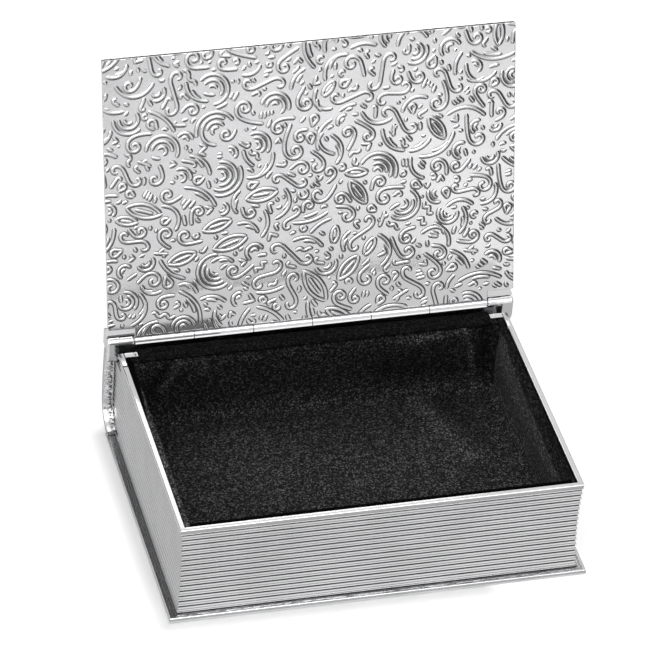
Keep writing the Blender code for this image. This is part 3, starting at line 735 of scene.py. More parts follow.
# The third numbers of FLUTE, BAND and FOOT_STRIP are painted shade, black under each lip and at the foot.
FLUTE = (
    (0.03, 0.14, 1), (0.09, 0.29, 1), (0.15, 0.38, 1), (0.22, 0.41, 1), (0.30, 0.415, 1), (0.36, 0.41, 0.5),
    (0.42, 0.397, 0.2), (0.455, 0.388, 0), (0.585, 0.19, 0), (0.65, 0.184, 0.1), (0.74, 0.18, 0.25),
    (0.80, 0.177, 0.1), (0.83, 0.172, 0), (0.937, 0, 0), (0.975, 0, 0), (1.0, 0.02, 0.9))
BAND = ((0.12, 0.10, 0), (0.35, 0.13, 0.15), (0.75, 0.10, 0.1))
FOOT_STRIP = ((0.05, 0.20, 1), (0.15, 0.28, 1), (0.28, 0.26, 1), (0.40, 0.10, 0.2), (0.55, 0.06, 0))
FOOT_TARNISH_AND_SHADE = 0.5
WALL_HOLLOW = 0.7 * MM
RIM_ROUNDING = 0.4 * MM
RIM_INNER_ROUNDING = 0.2 * MM
RIM_STEPS = 6
block_height = rim_top - block_bottom


def hollow(height):
    """How far a page wall draws in at a height above its foot."""
    from_middle = 2 * height / block_height - 1
    return WALL_HOLLOW * (1 - from_middle * from_middle)


def wall_level(height, fall, tarnish_and_shade, ridge=-1):
    """A wall's level: outer depth and height, inner depth and height, ridge number, tarnish and painted
    shade.
    """
    return hollow(height) + fall * MM, height, wall_thickness, height, ridge, tarnish_and_shade


def page_levels():
    """The wall's levels from its foot to its rim."""
    flutes_top = block_height - RIM_BAND
    levels = []
    lip = flutes_top
    for ridge in range(FLUTE_COUNT):
        pitch = FLUTE_PITCH - PITCH_LOSS * ridge
        levels += [wall_level(lip - pitch * down, fall, tarnish_and_shade, ridge) for down, fall, tarnish_and_shade in FLUTE]
        lip -= pitch
    levels += [wall_level(lip - down * MM, fall, tarnish_and_shade) for down, fall, tarnish_and_shade in FOOT_STRIP]
    levels.append((levels[-1][0], 0, wall_thickness, 0, -1, FOOT_TARNISH_AND_SHADE))
    levels.reverse()
    levels.append(wall_level(flutes_top, 0, 0))
    levels += [wall_level(flutes_top + up * MM, fall, tarnish_and_shade) for up, fall, tarnish_and_shade in BAND]
    outer = arc((RIM_ROUNDING, block_height - RIM_ROUNDING), RIM_ROUNDING, math.pi, math.pi / 2, RIM_STEPS)
    inner = arc((wall_thickness - RIM_INNER_ROUNDING, block_height - RIM_INNER_ROUNDING), RIM_INNER_ROUNDING,
                0, math.pi / 2, RIM_STEPS)
    return levels + [(*outside, *inside, -1, 0) for outside, inside in zip(outer, inner)]


wall_levels = page_levels()
print("a page wall has", len(wall_levels), "levels")

# %% Push the section along the walls
WALL_CUTS = 60
MITRE_GAP = 0.03 * MM
RIDGE_WANDER = 0.03 * MM
RIDGE_WAVES = (90, 160)
RIDGE_CORNER = math.radians(50)
SEAM_FALL = 0.1 * MM
SEAM_PAINTED_SHADE = 0.95
SIDE_LINE_LOW = 0.14 * MM
SIDE_LINE_HIGH = 0.2 * MM
SIDE_LINE_PAINTED_SHADE = 0.4


def wall_tarnish_and_shade(depth, height, tarnish_and_shade, at_spine, on_side):
    """A point's darkening: the section's own, painted shade in the flutes at the spine and on the side slope.
    """
    fall = depth - hollow(height)
    if at_spine and fall > SEAM_FALL:
        return SEAM_PAINTED_SHADE
    if on_side and SIDE_LINE_LOW < fall < SIDE_LINE_HIGH:
        return max(tarnish_and_shade, SIDE_LINE_PAINTED_SHADE)
    return tarnish_and_shade


def page_wall(name, node, ends, place, turn, spine_cuts=()):
    """A ridged wall along its own X, outside towards -Y.

    ends gives where it starts and stops at a depth and a height, and spine_cuts are its cuts at the spine."""
    luck = random.Random(name)
    waves = [(luck.uniform(0, 2 * math.pi), luck.uniform(*RIDGE_WAVES)) for _ in range(FLUTE_COUNT)]
    rings = []
    marks = []
    for cut in range(WALL_CUTS + 1):
        way = cut / WALL_CUTS
        outside = []
        inside = []
        for depth, height, inner_depth, inner_height, ridge, _ in wall_levels:
            first, last = ends(depth, height)
            x = first + (last - first) * way
            wander = 0
            if ridge >= 0:
                phase, rate = waves[ridge]
                wander = RIDGE_WANDER * math.sin(phase + rate * x) * math.sin(math.pi * way)
            outside.append((x, depth, height + wander))
            first, last = ends(inner_depth, inner_height)
            inside.append((first + (last - first) * way, inner_depth, inner_height))
        rings.append(outside + inside[::-1])
        marks.append([wall_tarnish_and_shade(depth, height, tarnish_and_shade, cut in spine_cuts, bool(spine_cuts))
                      for depth, height, _, _, _, tarnish_and_shade in wall_levels] + [0] * len(wall_levels))
    shape = bmesh.new()
    loft(shape, rings, paired_ends=True, marks=marks)
    shape.transform(Matrix.Translation(place) @ Matrix.Rotation(turn, 4, "Z"))
    add_piece(name, finish_mesh(name, shape, RIDGE_CORNER), SATIN_SILVER, "box", [node])


def front_ends(depth, _):
    """Mitres at both ends of the front wall, the same at every height."""
    reach = block_half - depth - MITRE_GAP
    return -reach, reach


def left_ends(depth, height):
    """The left wall's own X runs forwards: from the spine to the front mitre."""
    return -rear_end(block_bottom + height), -(block_front + depth + MITRE_GAP)


def right_ends(depth, height):
    """The right wall's own X runs backwards: from the front mitre to the spine."""
    return block_front + depth + MITRE_GAP, rear_end(block_bottom + height)


page_wall("ridged_front_wall", "page_wall_front", front_ends, (0, block_front, block_bottom), 0)
page_wall("ridged_left_wall", "page_wall_left", left_ends, (-block_half, 0, block_bottom), -math.pi / 2,
          (0, 1))
page_wall("ridged_right_wall", "page_wall_right", right_ends, (block_half, 0, block_bottom), math.pi / 2,
          (WALL_CUTS - 1, WALL_CUTS))

# %% [markdown]
# ## Strokes for the embossing
# The covers are embossed all over with raised strokes: scrolls, leaves, crescents, waves and short
# dashes, all about one millimetre wide. A pen that walks and turns draws each stroke: a leg is a length
# and how sharply the pen turns at its start and at its end, so a leg that turns ever more sharply is a
# scroll. The motifs are common ornament, and each draws itself with a little luck so that no two are
# alike.

# %% The pen
PEN_STEP = 0.45


def walk(heading, legs, start=(0, 0)):
    """Draw a line by legs of (length, first turn, last turn), in millimetres and degrees a millimetre."""
    x, y = start
    heading = math.radians(heading)
    points = [(x, y)]
    for length, first, last in legs:
        steps = max(1, round(length / PEN_STEP))
        for step in range(steps):
            turn = first + (last - first) * (step + 1 / 2) / steps
            heading += math.radians(turn) * length / steps
            x += math.cos(heading) * length / steps
            y += math.sin(heading) * length / steps
            points.append((x, y))
    return np.array(points)


def bow(radius, start, sweep):
    """An arc of a circle about the origin, from an angle through a sweep in degrees."""
    begin = math.radians(start)
    turn = math.degrees(1) / radius
    length = math.radians(sweep) * radius
    return walk(start + 90, [(length, turn, turn)], (radius * math.cos(begin), radius * math.sin(begin)))


# %% Large motifs


def scroll(luck):
    """A stem that curls up at its end."""
    stem = luck.uniform(3, 9)
    legs = [(stem, 0, luck.uniform(2, 9)), (luck.uniform(6.5, 9.5), 14, 34), (luck.uniform(3, 5), 38, 62)]
    return [walk(0, legs)]


def double_scroll(luck):
    """A stroke that curls one way at one end and the other way at the other."""
    middle = luck.uniform(3, 7)
    return [walk(0, [(4.5, -58, -34), (4, -28, -8), (middle, 0, 0), (4, 8, 28), (4.5, 34, 58)])]


def crescents(luck):
    """Two to four arcs inside one another."""
    start = luck.uniform(0, 40)
    return [bow(1.3 + 1.75 * ring, start + luck.uniform(-14, 14), luck.uniform(130, 235))
            for ring in range(luck.choice((2, 3, 3, 4)))]


def leaf(luck):
    """Two bowed edges that meet at both tips, with a vein."""
    length = luck.uniform(9, 13)
    spread_angle = luck.uniform(36, 44)
    edge = length * 1.07
    turn = 2 * spread_angle / edge
    upper = walk(spread_angle, [(edge, -turn, -turn)])
    lower = walk(-spread_angle, [(edge * 0.97, turn, turn)])
    vein = walk(0, [(length * 0.5, luck.uniform(-3, 3), 0)], (length * 0.24, 0))
    return [upper, lower, vein]


def sweep(luck):
    """One long bowed stroke, sometimes with a second inside it."""
    length = luck.uniform(9, 17)
    bend = luck.uniform(5, 13)
    lines = [walk(0, [(length / 2, bend * 0.4, bend), (length / 2, bend, bend * 0.5)])]
    if luck.random() < 0.6:
        start = lines[0][len(lines[0]) // 4] + (0.3, 1.7)
        lines.append(walk(12, [(length * 0.4, bend, bend)], tuple(start)))
    return lines


# %% Middle motifs


def wave(luck):
    """A line that bends to and fro."""
    size = luck.uniform(2.4, 3.6)
    turn = luck.uniform(30, 46)
    legs = [(size / 2, turn, turn)]
    for _ in range(luck.choice((2, 3, 4))):
        turn = -turn
        legs.append((size, turn, turn))
    return [walk(0, legs)]


def zigzag(luck):
    """Straight legs with sharp corners."""
    leg = luck.uniform(2.6, 4.4)
    bend = luck.uniform(190, 240)
    legs = [(leg, 0, 0)]
    for _ in range(luck.choice((1, 2, 3))):
        legs += [(0.5, bend, bend), (leg * luck.uniform(0.7, 1.1), 0, 0)]
        bend = -bend
    return [walk(0, legs)]


def hatching(luck):
    """Short strokes side by side."""
    lean = luck.uniform(-1, 1)
    lines = []
    for row in range(luck.choice((2, 3, 4))):
        heading = luck.uniform(-5, 5)
        legs = [(luck.uniform(2.4, 5), 0, luck.uniform(-6, 6))]
        lines.append(walk(heading, legs, (row * lean, row * 1.65)))
    return lines


def fork(luck):
    """A bent stem with a shoot on each side."""
    stem = walk(0, [(luck.uniform(6, 10), luck.uniform(-8, 0), luck.uniform(0, 8))])
    first = stem[len(stem) // 3]
    second = stem[len(stem) * 3 // 5]
    return [stem, walk(58, [(luck.uniform(2.4, 4), 0, -20)], tuple(first)),
            walk(-56, [(luck.uniform(2.2, 3.6), 0, 18)], tuple(second))]


def drop(luck):
    """A loop that comes to a point."""
    side = luck.uniform(2.6, 4)
    turn = luck.uniform(33, 44)
    return [walk(-26, [(side, 0, 0), (232 / turn, turn, turn), (side, 0, 0)])]


def hook(luck):
    """A straight stroke with a tight crook."""
    return [walk(0, [(luck.uniform(2.5, 6.5), 0, luck.uniform(-5, 5)), (luck.uniform(2.4, 3.6), 58, 58)])]


# %% Small motifs


def dash(luck):
    """One short stroke, a little bent."""
    return [walk(0, [(luck.uniform(2.0, 5.0), luck.uniform(-12, 12), luck.uniform(-12, 12))])]


def comma(luck):
    """A very short stroke that bends."""
    return [walk(0, [(luck.uniform(1.8, 3.2), 20, luck.uniform(30, 60))])]


def ringlet(luck):
    """A small ring that doesn't quite close."""
    return [bow(luck.uniform(1.0, 1.5), 0, luck.uniform(290, 330))]


# %% [markdown]
# ## Laying the strokes out
# The strokes fill a cover without touching. A simple way to get that is to try motifs at random places,
# the large ones first, and to keep one only if no part of it comes too near a stroke already laid. A grid
# of cells remembers where that is. ROUNDS gives, for each round, its motifs, how many tries it has, and
# their least and greatest size. The same seed always gives the same layout. The motifs may run over the
# cover's edges, where they are cut off later, as a sheet cut from a longer embossed roll shows.

# %% Laying the strokes out
STROKE_CLEARANCE = 1.3
CELL = 0.25
OVERHANG = 5
MIDDLES_OVERHANG = 3
LARGE = (scroll, double_scroll, crescents, sweep, scroll, leaf, sweep)
MIDDLE = (wave, zigzag, drop, hook, fork, hatching, scroll, crescents, sweep)
SMALL = (dash, comma, ringlet, hook, dash, zigzag, hatching)
ROUNDS = (
    (LARGE, 500, 0.95, 1.25), (LARGE, 5000, 0.75, 1.0),
    (MIDDLE, 18000, 0.7, 0.95), (SMALL, 36000, 0.7, 1.1))


def on_grid(cells, grid):
    """Those of the cells that lie on the grid."""
    return cells[(cells >= 0).all(axis=1) & (cells < grid.shape).all(axis=1)]


def throw(luck, motifs, least, most, width, depth):
    """A motif at a random place, size, angle and side, as lines in millimetres."""
    angle = luck.uniform(0, 2 * math.pi)
    size = luck.uniform(least, most)
    mirror = luck.choice((-1, 1))
    across = luck.uniform(-1, 1) * (width / 2 + MIDDLES_OVERHANG)
    along = luck.uniform(-1, 1) * (depth / 2 + MIDDLES_OVERHANG)
    lines = luck.choice(motifs)(luck)
    centre = np.vstack(lines).mean(axis=0)
    turn = np.array([[math.cos(angle), -math.sin(angle)], [math.sin(angle), math.cos(angle)]])
    return [((line - centre) * size * (1, mirror)) @ turn.T + np.array([across, along]) for line in lines]


def lay_out(width, depth, seed, kept_free=()):
    """Fill a width by depth in millimetres, its middle the origin, with strokes outside what is kept free."""
    luck = random.Random(seed)
    corner = np.array([width / 2 + OVERHANG, depth / 2 + OVERHANG])
    taken = np.zeros((round((width + 2 * OVERHANG) / CELL), round((depth + 2 * OVERHANG) / CELL)), bool)
    for low_x, low_y, high_x, high_y in kept_free:
        low = np.maximum(0, ((np.array([low_x, low_y]) + corner) / CELL).astype(int))
        high = np.maximum(0, ((np.array([high_x, high_y]) + corner) / CELL).astype(int))
        taken[low[0]:high[0], low[1]:high[1]] = True
    reach = math.ceil(STROKE_CLEARANCE / CELL)
    offsets = np.arange(-reach, reach + 1)
    disc = [(x, y) for x in offsets for y in offsets if math.hypot(x, y) * CELL <= STROKE_CLEARANCE]
    strokes = []
    for motifs, tries, least, most in ROUNDS:
        for _ in range(tries):
            lines = throw(luck, motifs, least, most, width, depth)
            cells = on_grid(((np.vstack(lines) + corner) / CELL).astype(int), taken)
            if not len(cells) or taken[cells[:, 0], cells[:, 1]].any():
                continue
            for x, y in disc:
                near = on_grid(cells + (x, y), taken)
                taken[near[:, 0], near[:, 1]] = True
            strokes += lines
    return strokes


# %% [markdown]
# ## Raising the strokes
# Each stroke is a small bank of metal: a rounded crown with flanks that run out softly into the sheet.
# Its section has thirteen points and is swept along the line, and it narrows at both ends. The strokes
# are first made lying on a flat sheet, cut off at the sheet's edges with planes, and then carried to the
# real surface, flat or bent, by a function from across, along and height to a place.

# %% Raising the strokes
HALF_BANK = ((1.02, -0.05), (0.94, 0.004), (0.53, 0.006), (0.45, 0.07), (0.32, 0.205), (0.19, 0.24))
BANK_CROWN = (0, 0.245)
BANK = [(-out, up) for out, up in HALF_BANK] + [BANK_CROWN] + [(out, up) for out, up in HALF_BANK[::-1]]
# Painted shade: a black collar along each bank's foot, with a little tarnish.
BANK_TARNISH_AND_SHADE = (0.7, 0.9, 0.95, 0.3, 0, 0, 0, 0, 0, 0.3, 0.95, 0.9, 0.7)
BANK_CORNER = math.radians(60)
END_FULLNESS = 0.45
END_SWELL = 0.75
FADED_SHARE = 0.6


def lengths_along(line):
    """How far along a line each of its points is."""
    return np.concatenate([[0], np.cumsum(np.linalg.norm(np.diff(line, axis=0), axis=1))])


def cut_off(shape, low, high):
    """Cut a flat shape off outside a rectangle, and close the cuts."""
    edges = (((low[0], 0), (-1, 0)), ((high[0], 0), (1, 0)), ((0, low[1]), (0, -1)), ((0, high[1]), (0, 1)))
    for (x, y), (out_x, out_y) in edges:
        whole = shape.verts[:] + shape.edges[:] + shape.faces[:]
        sliced = bmesh.ops.bisect_plane(
            shape, geom=whole, plane_co=(x, y, 0), plane_no=(out_x, out_y, 0), clear_outer=True,
            dist=0.001 * MM)
        rim = [item for item in sliced["geom_cut"] if isinstance(item, bmesh.types.BMEdge)]
        bmesh.ops.holes_fill(shape, edges=rim)


def raise_strokes(name, strokes, low, high, to_surface):
    """A mesh of banks along the strokes, cut off outside a rectangle and carried to the surface.

    Each bank thins towards its ends, and its dark foot, painted shade with a little tarnish, fades towards
    the rectangle's low edge."""
    shape = bmesh.new()
    layer = shape.verts.layers.float.new("tarnish_and_shade_mark")
    for line in strokes:
        along = np.gradient(line, axis=0)
        along /= np.linalg.norm(along, axis=1)[:, None] + 1e-9
        aside = np.stack([-along[:, 1], along[:, 0]], axis=1)
        walked = lengths_along(line)
        to_end = np.minimum(walked, walked[-1] - walked)
        fullness = np.clip(END_FULLNESS + END_SWELL * to_end, 0, 1)
        rows = []
        for point, side, full in zip(line, aside, fullness):
            row = []
            kept = np.clip((point[1] * MM - low[1]) / (high[1] - low[1]), 0, 1)
            kept = 1 - FADED_SHARE * (1 - kept)
            for (across, height), mark in zip(BANK, BANK_TARNISH_AND_SHADE):
                place = point + side * across * full
                vertex = shape.verts.new((place[0] * MM, place[1] * MM, height * full * MM))
                vertex[layer] = mark * kept
                row.append(vertex)
            rows.append(row)
        for near, far in zip(rows, rows[1:]):
            skin(shape, near, far)
        shape.faces.new(rows[0])
        shape.faces.new(rows[-1])
    cut_off(shape, low, high)
    for vertex in shape.verts:
        vertex.co = to_surface(vertex.co)
    mesh = finish_mesh(name, shape, BANK_CORNER)
    print(name, "holds", len(strokes), "strokes")
    return mesh


# %% [markdown]
# ## The lid
# The front cover is one embossed sheet, seen from its inside. The plate is a slab with softly rounded
# edges, stepped in at both ends of its hinge side to clear the lugs, with a shallow rebate outside for
# the hinge leaf. It is drawn lying shut about the hinge axis, where its shape is simple, and then swung
# open. The strokes stand up on both faces, and outside they keep clear of the leaf.

# %% The embossed lid
LID_ROUNDING = 0.3 * MM
LID_CORNER = 0.7 * MM
CORNER_STEPS = 6
HINGE_CLEARANCE = 2.25 * MM
LID_NOTCH = 5.2 * MM
LEAF_WIDTH = 12 * MM
LEAF_SHEET = 0.6 * MM
EDGE_MARGIN = 0.12 * MM
NOTCH_MARGIN = 0.7
LEAF_SIDE_MARGIN = 0.8
LEAF_EDGE_MARGIN = 1.1
FAR_OFF = 99


def lid_outline():
    """The lid's outline about the hinge axis, the fore-edge at the lowest Y."""
    corner_x = half_width - LID_CORNER
    corner_y = LID_CORNER - lid_depth
    outline = [(half_width, -LID_NOTCH), (hinge_half, -LID_NOTCH), (hinge_half, -HINGE_CLEARANCE),
               (-hinge_half, -HINGE_CLEARANCE), (-hinge_half, -LID_NOTCH), (-half_width, -LID_NOTCH)]
    outline += arc((-corner_x, corner_y), LID_CORNER, math.pi, math.pi * 3 / 2, CORNER_STEPS)
    return outline + arc((corner_x, corner_y), LID_CORNER, math.pi * 3 / 2, math.pi * 2, CORNER_STEPS)


plate = slab("lid_plate", lid_outline(), -lid_thickness, 0, LID_ROUNDING)
rebate_half = hinge_half + PLAY
rebate = slab(
    "leaf_rebate", rectangle(-rebate_half, -LEAF_WIDTH - PLAY, rebate_half, MM), -LEAF_SHEET - PLAY, MM, 0)
plate = carved("lid_plate", plate, [rebate])
sheet_middle = -lid_depth / 2
sheet_low = (-half_width + EDGE_MARGIN, -lid_depth / 2 + EDGE_MARGIN)
sheet_high = (half_width - EDGE_MARGIN, lid_depth / 2 - HINGE_CLEARANCE - EDGE_MARGIN)
notch_top = (lid_depth / 2 - LID_NOTCH) / MM - NOTCH_MARGIN
notch_side = hinge_half / MM - NOTCH_MARGIN
hinge_corners = [(notch_side, notch_top, FAR_OFF, FAR_OFF), (-FAR_OFF, notch_top, -notch_side, FAR_OFF)]
leaf_side = rebate_half / MM + LEAF_SIDE_MARGIN
leaf_foot = (lid_depth / 2 - LEAF_WIDTH) / MM - LEAF_EDGE_MARGIN
leaf_zone = [(-leaf_side, leaf_foot, leaf_side, FAR_OFF)]


def inner_face(place):
    """From the flat sheet to the lid's inner face, shut."""
    return Vector((place.x, sheet_middle + place.y, -lid_thickness - place.z))


def outer_face(place):
    """From the flat sheet to the lid's outer face, shut."""
    return Vector((place.x, sheet_middle + place.y, place.z))


width_mm = 2 * half_width / MM
depth_mm = lid_depth / MM
inner_strokes = lay_out(width_mm, depth_mm, seed=11, kept_free=hinge_corners)
outer_strokes = lay_out(width_mm, depth_mm, seed=23, kept_free=hinge_corners + leaf_zone)
inner_relief = raise_strokes("inner_relief", inner_strokes, sheet_low, sheet_high, inner_face)
outer_relief = raise_strokes("outer_relief", outer_strokes, sheet_low, sheet_high, outer_face)
for mesh in (plate, inner_relief, outer_relief):
    mesh.transform(LID_OPEN)
add_piece("embossed_lid", plate, SATIN_SILVER, "lid", ["front_cover"], weighted=True)
add_piece("embossing_inside", inner_relief, SATIN_SILVER, "lid")
add_piece("embossing_outside", outer_relief, SATIN_SILVER, "lid")

# %% [markdown]
# ## The spine
# The spine is the same embossed sheet, bent. Its section follows the two arcs, and its thickness is put
# on inwards. The two end edges are rounded by a few rings that draw in towards the middle of the sheet,
# and these rings carry a little patina. The strokes are laid on a flat strip as long as the curve, and
# each point is then carried round the bend, which keeps them as wide on the tight foot as on the back.

# %% The spine
SPINE_EDGE = 0.3 * MM
SPINE_EDGE_PATINA = (0.45, 0.35, 0.15, 0)
SPINE_MARGIN = 1.2 * MM
SPINE_STEPS = 120


def spine_ring(x, inset):
    """A ring round the sheet's section at one place along X, drawn in from both its faces."""
    outside = [(x, y, z) for y, z in spine_curve(inset)]
    inside = [(x, y, z) for y, z in spine_curve(SPINE_SHEET - inset)]
    return outside + inside[::-1]


rings = []
marks = []
for step, mark in enumerate(SPINE_EDGE_PATINA):
    angle = math.pi / 2 * step / (len(SPINE_EDGE_PATINA) - 1)
    x = -half_width + SPINE_EDGE * (1 - math.cos(angle))
    rings.append(spine_ring(x, SPINE_EDGE * (1 - math.sin(angle))))
    marks.append([mark] * len(rings[0]))
rings += [[(-x, y, z) for x, y, z in ring] for ring in rings[::-1]]
shape = bmesh.new()
loft(shape, rings, paired_ends=True, marks=marks + marks[::-1])
spine_mesh = finish_mesh("spine_sheet", shape)
spine_line = np.array(spine_curve(0, SPINE_STEPS))
spine_walk = lengths_along(spine_line)
spine_length = spine_walk[-1]


def round_spine(place):
    """From a flat strip to the outside of the spine."""
    along = min(max(place.y + spine_length / 2, 0), spine_length)
    y = np.interp(along, spine_walk, spine_line[:, 0])
    z = np.interp(along, spine_walk, spine_line[:, 1])
    centre = foot_centre if along < foot_radius * (foot_join + math.pi / 2) else bulge_centre
    out = Vector((0, y - centre[0], z - centre[1])).normalized()
    return Vector((place.x, y, z)) + out * place.z


spine_strokes = lay_out(width_mm, spine_length / MM, seed=37)
spine_relief = raise_strokes(
    "spine_relief", spine_strokes, (-half_width + EDGE_MARGIN, SPINE_MARGIN * 2 - spine_length / 2),
    (half_width - EDGE_MARGIN, spine_length / 2 - SPINE_MARGIN), round_spine)
add_piece("embossed_spine", spine_mesh, SPINE_SILVER, "box", ["spine_shell"])
add_piece("embossing_spine", spine_relief, SATIN_SILVER, "box")

# %% [markdown]
# ## The back cover
# The base plate lies under everything and shows as a ledge in front and at both ends. It is a slab with
# edges worn round, hollowed below for the felt, with four countersunk holes for the screws. Their cutters
# are turned work, like the screws themselves.

# %% The back cover
PLATE_ROUNDING = 0.45 * MM
PLATE_EDGE_STEPS = 4
HOLE_SIDES = 32
FELT_MARGIN = 5 * MM
FELT_RECESS = 1 * MM
SCREW_HOLE = 1.4 * MM
SCREW_HEAD_HOLE = 2.4 * MM
SCREW_HOLE_TOP = 4 * MM
CORNERS = ("front_left", "front_right", "rear_left", "rear_right")

base = slab("base_plate", rectangle(plate_low.x, plate_low.y, plate_high.x, plate_high.y), 0, plate_high.z,
            PLATE_ROUNDING, PLATE_EDGE_STEPS)
recess = rectangle(
    plate_low.x + FELT_MARGIN, plate_low.y + FELT_MARGIN,
    plate_high.x - FELT_MARGIN, plate_high.y - FELT_MARGIN)
cutters = [slab("felt_recess", recess, -MM, FELT_RECESS, 0)]
hole_foot = -FELT_RECESS - MM / 2
cone_top = FELT_RECESS + SCREW_HEAD_HOLE - SCREW_HOLE
hole_section = [
    (hole_foot, 0), (hole_foot, SCREW_HEAD_HOLE), (FELT_RECESS, SCREW_HEAD_HOLE),
    (cone_top, SCREW_HOLE), (SCREW_HOLE_TOP, SCREW_HOLE), (SCREW_HOLE_TOP, 0)]
for corner in CORNERS:
    screw_low, screw_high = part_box("base_screw_" + corner)
    middle = (screw_low + screw_high) / 2
    hole = turned("screw_hole", hole_section, (0, 0), HOLE_SIDES)
    hole.transform(Matrix.Translation((middle.x, middle.y, 0)) @ Matrix.Rotation(-math.pi / 2, 4, "Y"))
    cutters.append(hole)
base = carved("base_plate", base, cutters)
add_piece("back_plate", base, PLATE_SILVER, "box", ["back_cover"], weighted=True)

# %% [markdown]
# ## The rail and the lugs
# The rail is a drawn bar along the spine's top: a hollow for the knuckles in front, a sloping face that
# stops the lid, a rounded back and a tongue that goes down inside the spine. A lug closes each end of the
# hinge. It is a small casting with a cheek that curves away towards the page block and a short barrel
# with a domed nose in line with the knuckles. Castings have soft edges, so both are bevelled all round.

# %% The rail
KNUCKLE_RADIUS = 1.8 * MM
RAIL_ROUNDING = 2 * MM
TONGUE_THICKNESS = 1 * MM
RAIL_DROP = 4.8 * MM
BAR_EDGE = 0.2 * MM
CRADLE_STEPS = 20
BACK_STEPS = 12
OUTLINE_IN_Y_AND_Z = Matrix(((0, 0, 1, 0), (1, 0, 0, 0), (0, 1, 0, 0), (0, 0, 0, 1)))


def bar(name, outline, low_x, high_x, rounding):
    """A bar along X whose outline is drawn in Y and Z."""
    mesh = slab(name, outline, low_x, high_x, rounding)
    mesh.transform(OUTLINE_IN_Y_AND_Z)
    return mesh


def rail_outline():
    """The rail's section."""
    lean = open_angle - math.pi / 2
    along = Vector((math.sin(lean), math.cos(lean)))
    behind = Vector((math.cos(lean), -math.sin(lean)))
    stop_foot = Vector((axis_point.y, axis_point.z)) + behind * PLAY
    stop_top = stop_foot + along * (rail_high.z - stop_foot.y) / along.y
    cradle = KNUCKLE_RADIUS + PLAY
    stop_start = math.pi / 2 - lean - math.asin(PLAY / cradle)
    outline = [(rail_low.y, rail_low.z)]
    outline += arc((axis_point.y, axis_point.z), cradle, 0, stop_start, CRADLE_STEPS)
    outline.append(tuple(stop_top))
    back_centre = (rail_high.y - RAIL_ROUNDING, rail_high.z - RAIL_ROUNDING)
    outline += arc(back_centre, RAIL_ROUNDING, math.pi / 2, 0, BACK_STEPS)
    underside = axis_point.z - RAIL_DROP
    outline += [(rail_high.y, underside), (rail_low.y + TONGUE_THICKNESS, underside)]
    return outline + [(rail_low.y + TONGUE_THICKNESS, rail_low.z)]


rail = bar("rail", rail_outline(), -half_width, half_width, BAR_EDGE)
add_piece("drawn_rail", rail, SATIN_SILVER, "box", ["hinge_rail"], weighted=True)

# %% The lugs
LUG_CHEEK = 4.6 * MM
LUG_STRAIGHT = 3.5 * MM
LUG_EDGE = 0.45 * MM
LUG_BARREL = 1.7 * MM
PIN_BORE = 1.2 * MM
NOSE = 0.6 * MM
CHEEK_STEPS = 16
CAP_STEPS = 24


def lug(name, node, side):
    """A cheek with soft edges, and a barrel with a domed nose and a bore for the pin."""
    back = axis_point.y + KNUCKLE_RADIUS
    front = axis_point.y - KNUCKLE_RADIUS
    curve_top = axis_point.z - LUG_STRAIGHT
    depth = curve_top - lug_low.z
    outline = arc((axis_point.y, axis_point.z), KNUCKLE_RADIUS, 0, math.pi, CAP_STEPS)
    for step in range(CHEEK_STEPS + 1):
        angle = math.pi + math.pi / 2 * step / CHEEK_STEPS
        outline.append((back + (back - front) * math.cos(angle), curve_top + depth * math.sin(angle)))
    cheek = bar(name, outline, half_width - LUG_CHEEK, half_width, LUG_EDGE)
    start = hinge_half + PLAY / 2
    end = half_width - LUG_CHEEK / 2
    section = [(end, PIN_BORE), (start, PIN_BORE)]
    section += [(start + NOSE * (1 - math.sin(angle)), LUG_BARREL - NOSE * (1 - math.cos(angle)))
                for angle in (math.pi / 2, math.pi / 3, math.pi / 6, 0)]
    section.append((end, LUG_BARREL))
    barrel = turned(name + "_barrel", section, (axis_point.y, axis_point.z))
    mesh = join(name, [cheek, barrel])
    if side < 0:
        mesh.transform(Matrix.Diagonal((-1, 1, 1, 1)))
        mesh.flip_normals()
    add_piece(name, mesh, POLISHED_SILVER, "box", [node], weighted=True)


lug("cast_lug_left", "hinge_lug_left", -1)
lug("cast_lug_right", "hinge_lug_right", 1)

# %% [markdown]
# ## The hinge
# Two leaves share six knuckles, which they hold in turn, and a pin runs through all of them. A knuckle is
# a turned sleeve with its end edges broken, which is why a fine dark line shows at every joint along the
# barrel. A leaf is thin sheet with a tab behind each of its own knuckles and room for the other leaf's
# between them.

# %% The hinge leaves
KNUCKLE_COUNT = 6
KNUCKLE_SEAM = 0.2 * MM
KNUCKLE_CHAMFER = 0.14 * MM
CHAMFER_ROUND = 0.3
knuckle_pitch = 2 * hinge_half / KNUCKLE_COUNT


def knuckle(index, centre):
    """One sleeve of the hinge's barrel."""
    low = -hinge_half + knuckle_pitch * index + KNUCKLE_SEAM / 2
    high = low + knuckle_pitch - KNUCKLE_SEAM
    ease = KNUCKLE_CHAMFER
    nick = ease * CHAMFER_ROUND
    section = [
        (low, PIN_BORE), (low, KNUCKLE_RADIUS - ease), (low + nick, KNUCKLE_RADIUS - nick),
        (low + ease, KNUCKLE_RADIUS), (high - ease, KNUCKLE_RADIUS),
        (high - nick, KNUCKLE_RADIUS - nick), (high, KNUCKLE_RADIUS - ease), (high, PIN_BORE)]
    return turned("knuckle", section, centre)


def leaf_outline(first, edge, root, tab):
    """A leaf's outline, its far edge at edge, with tabs that reach to tab behind its own knuckles."""
    half = hinge_half - PLAY
    outline = [(-half, edge), (half, edge)]
    for index in reversed(range(KNUCKLE_COUNT)):
        low = max(-half, -hinge_half + knuckle_pitch * index + PLAY / 2)
        high = min(half, low + knuckle_pitch - PLAY)
        reach = tab if index % 2 == first else root
        outline += [(high, reach), (low, reach)]
    return outline


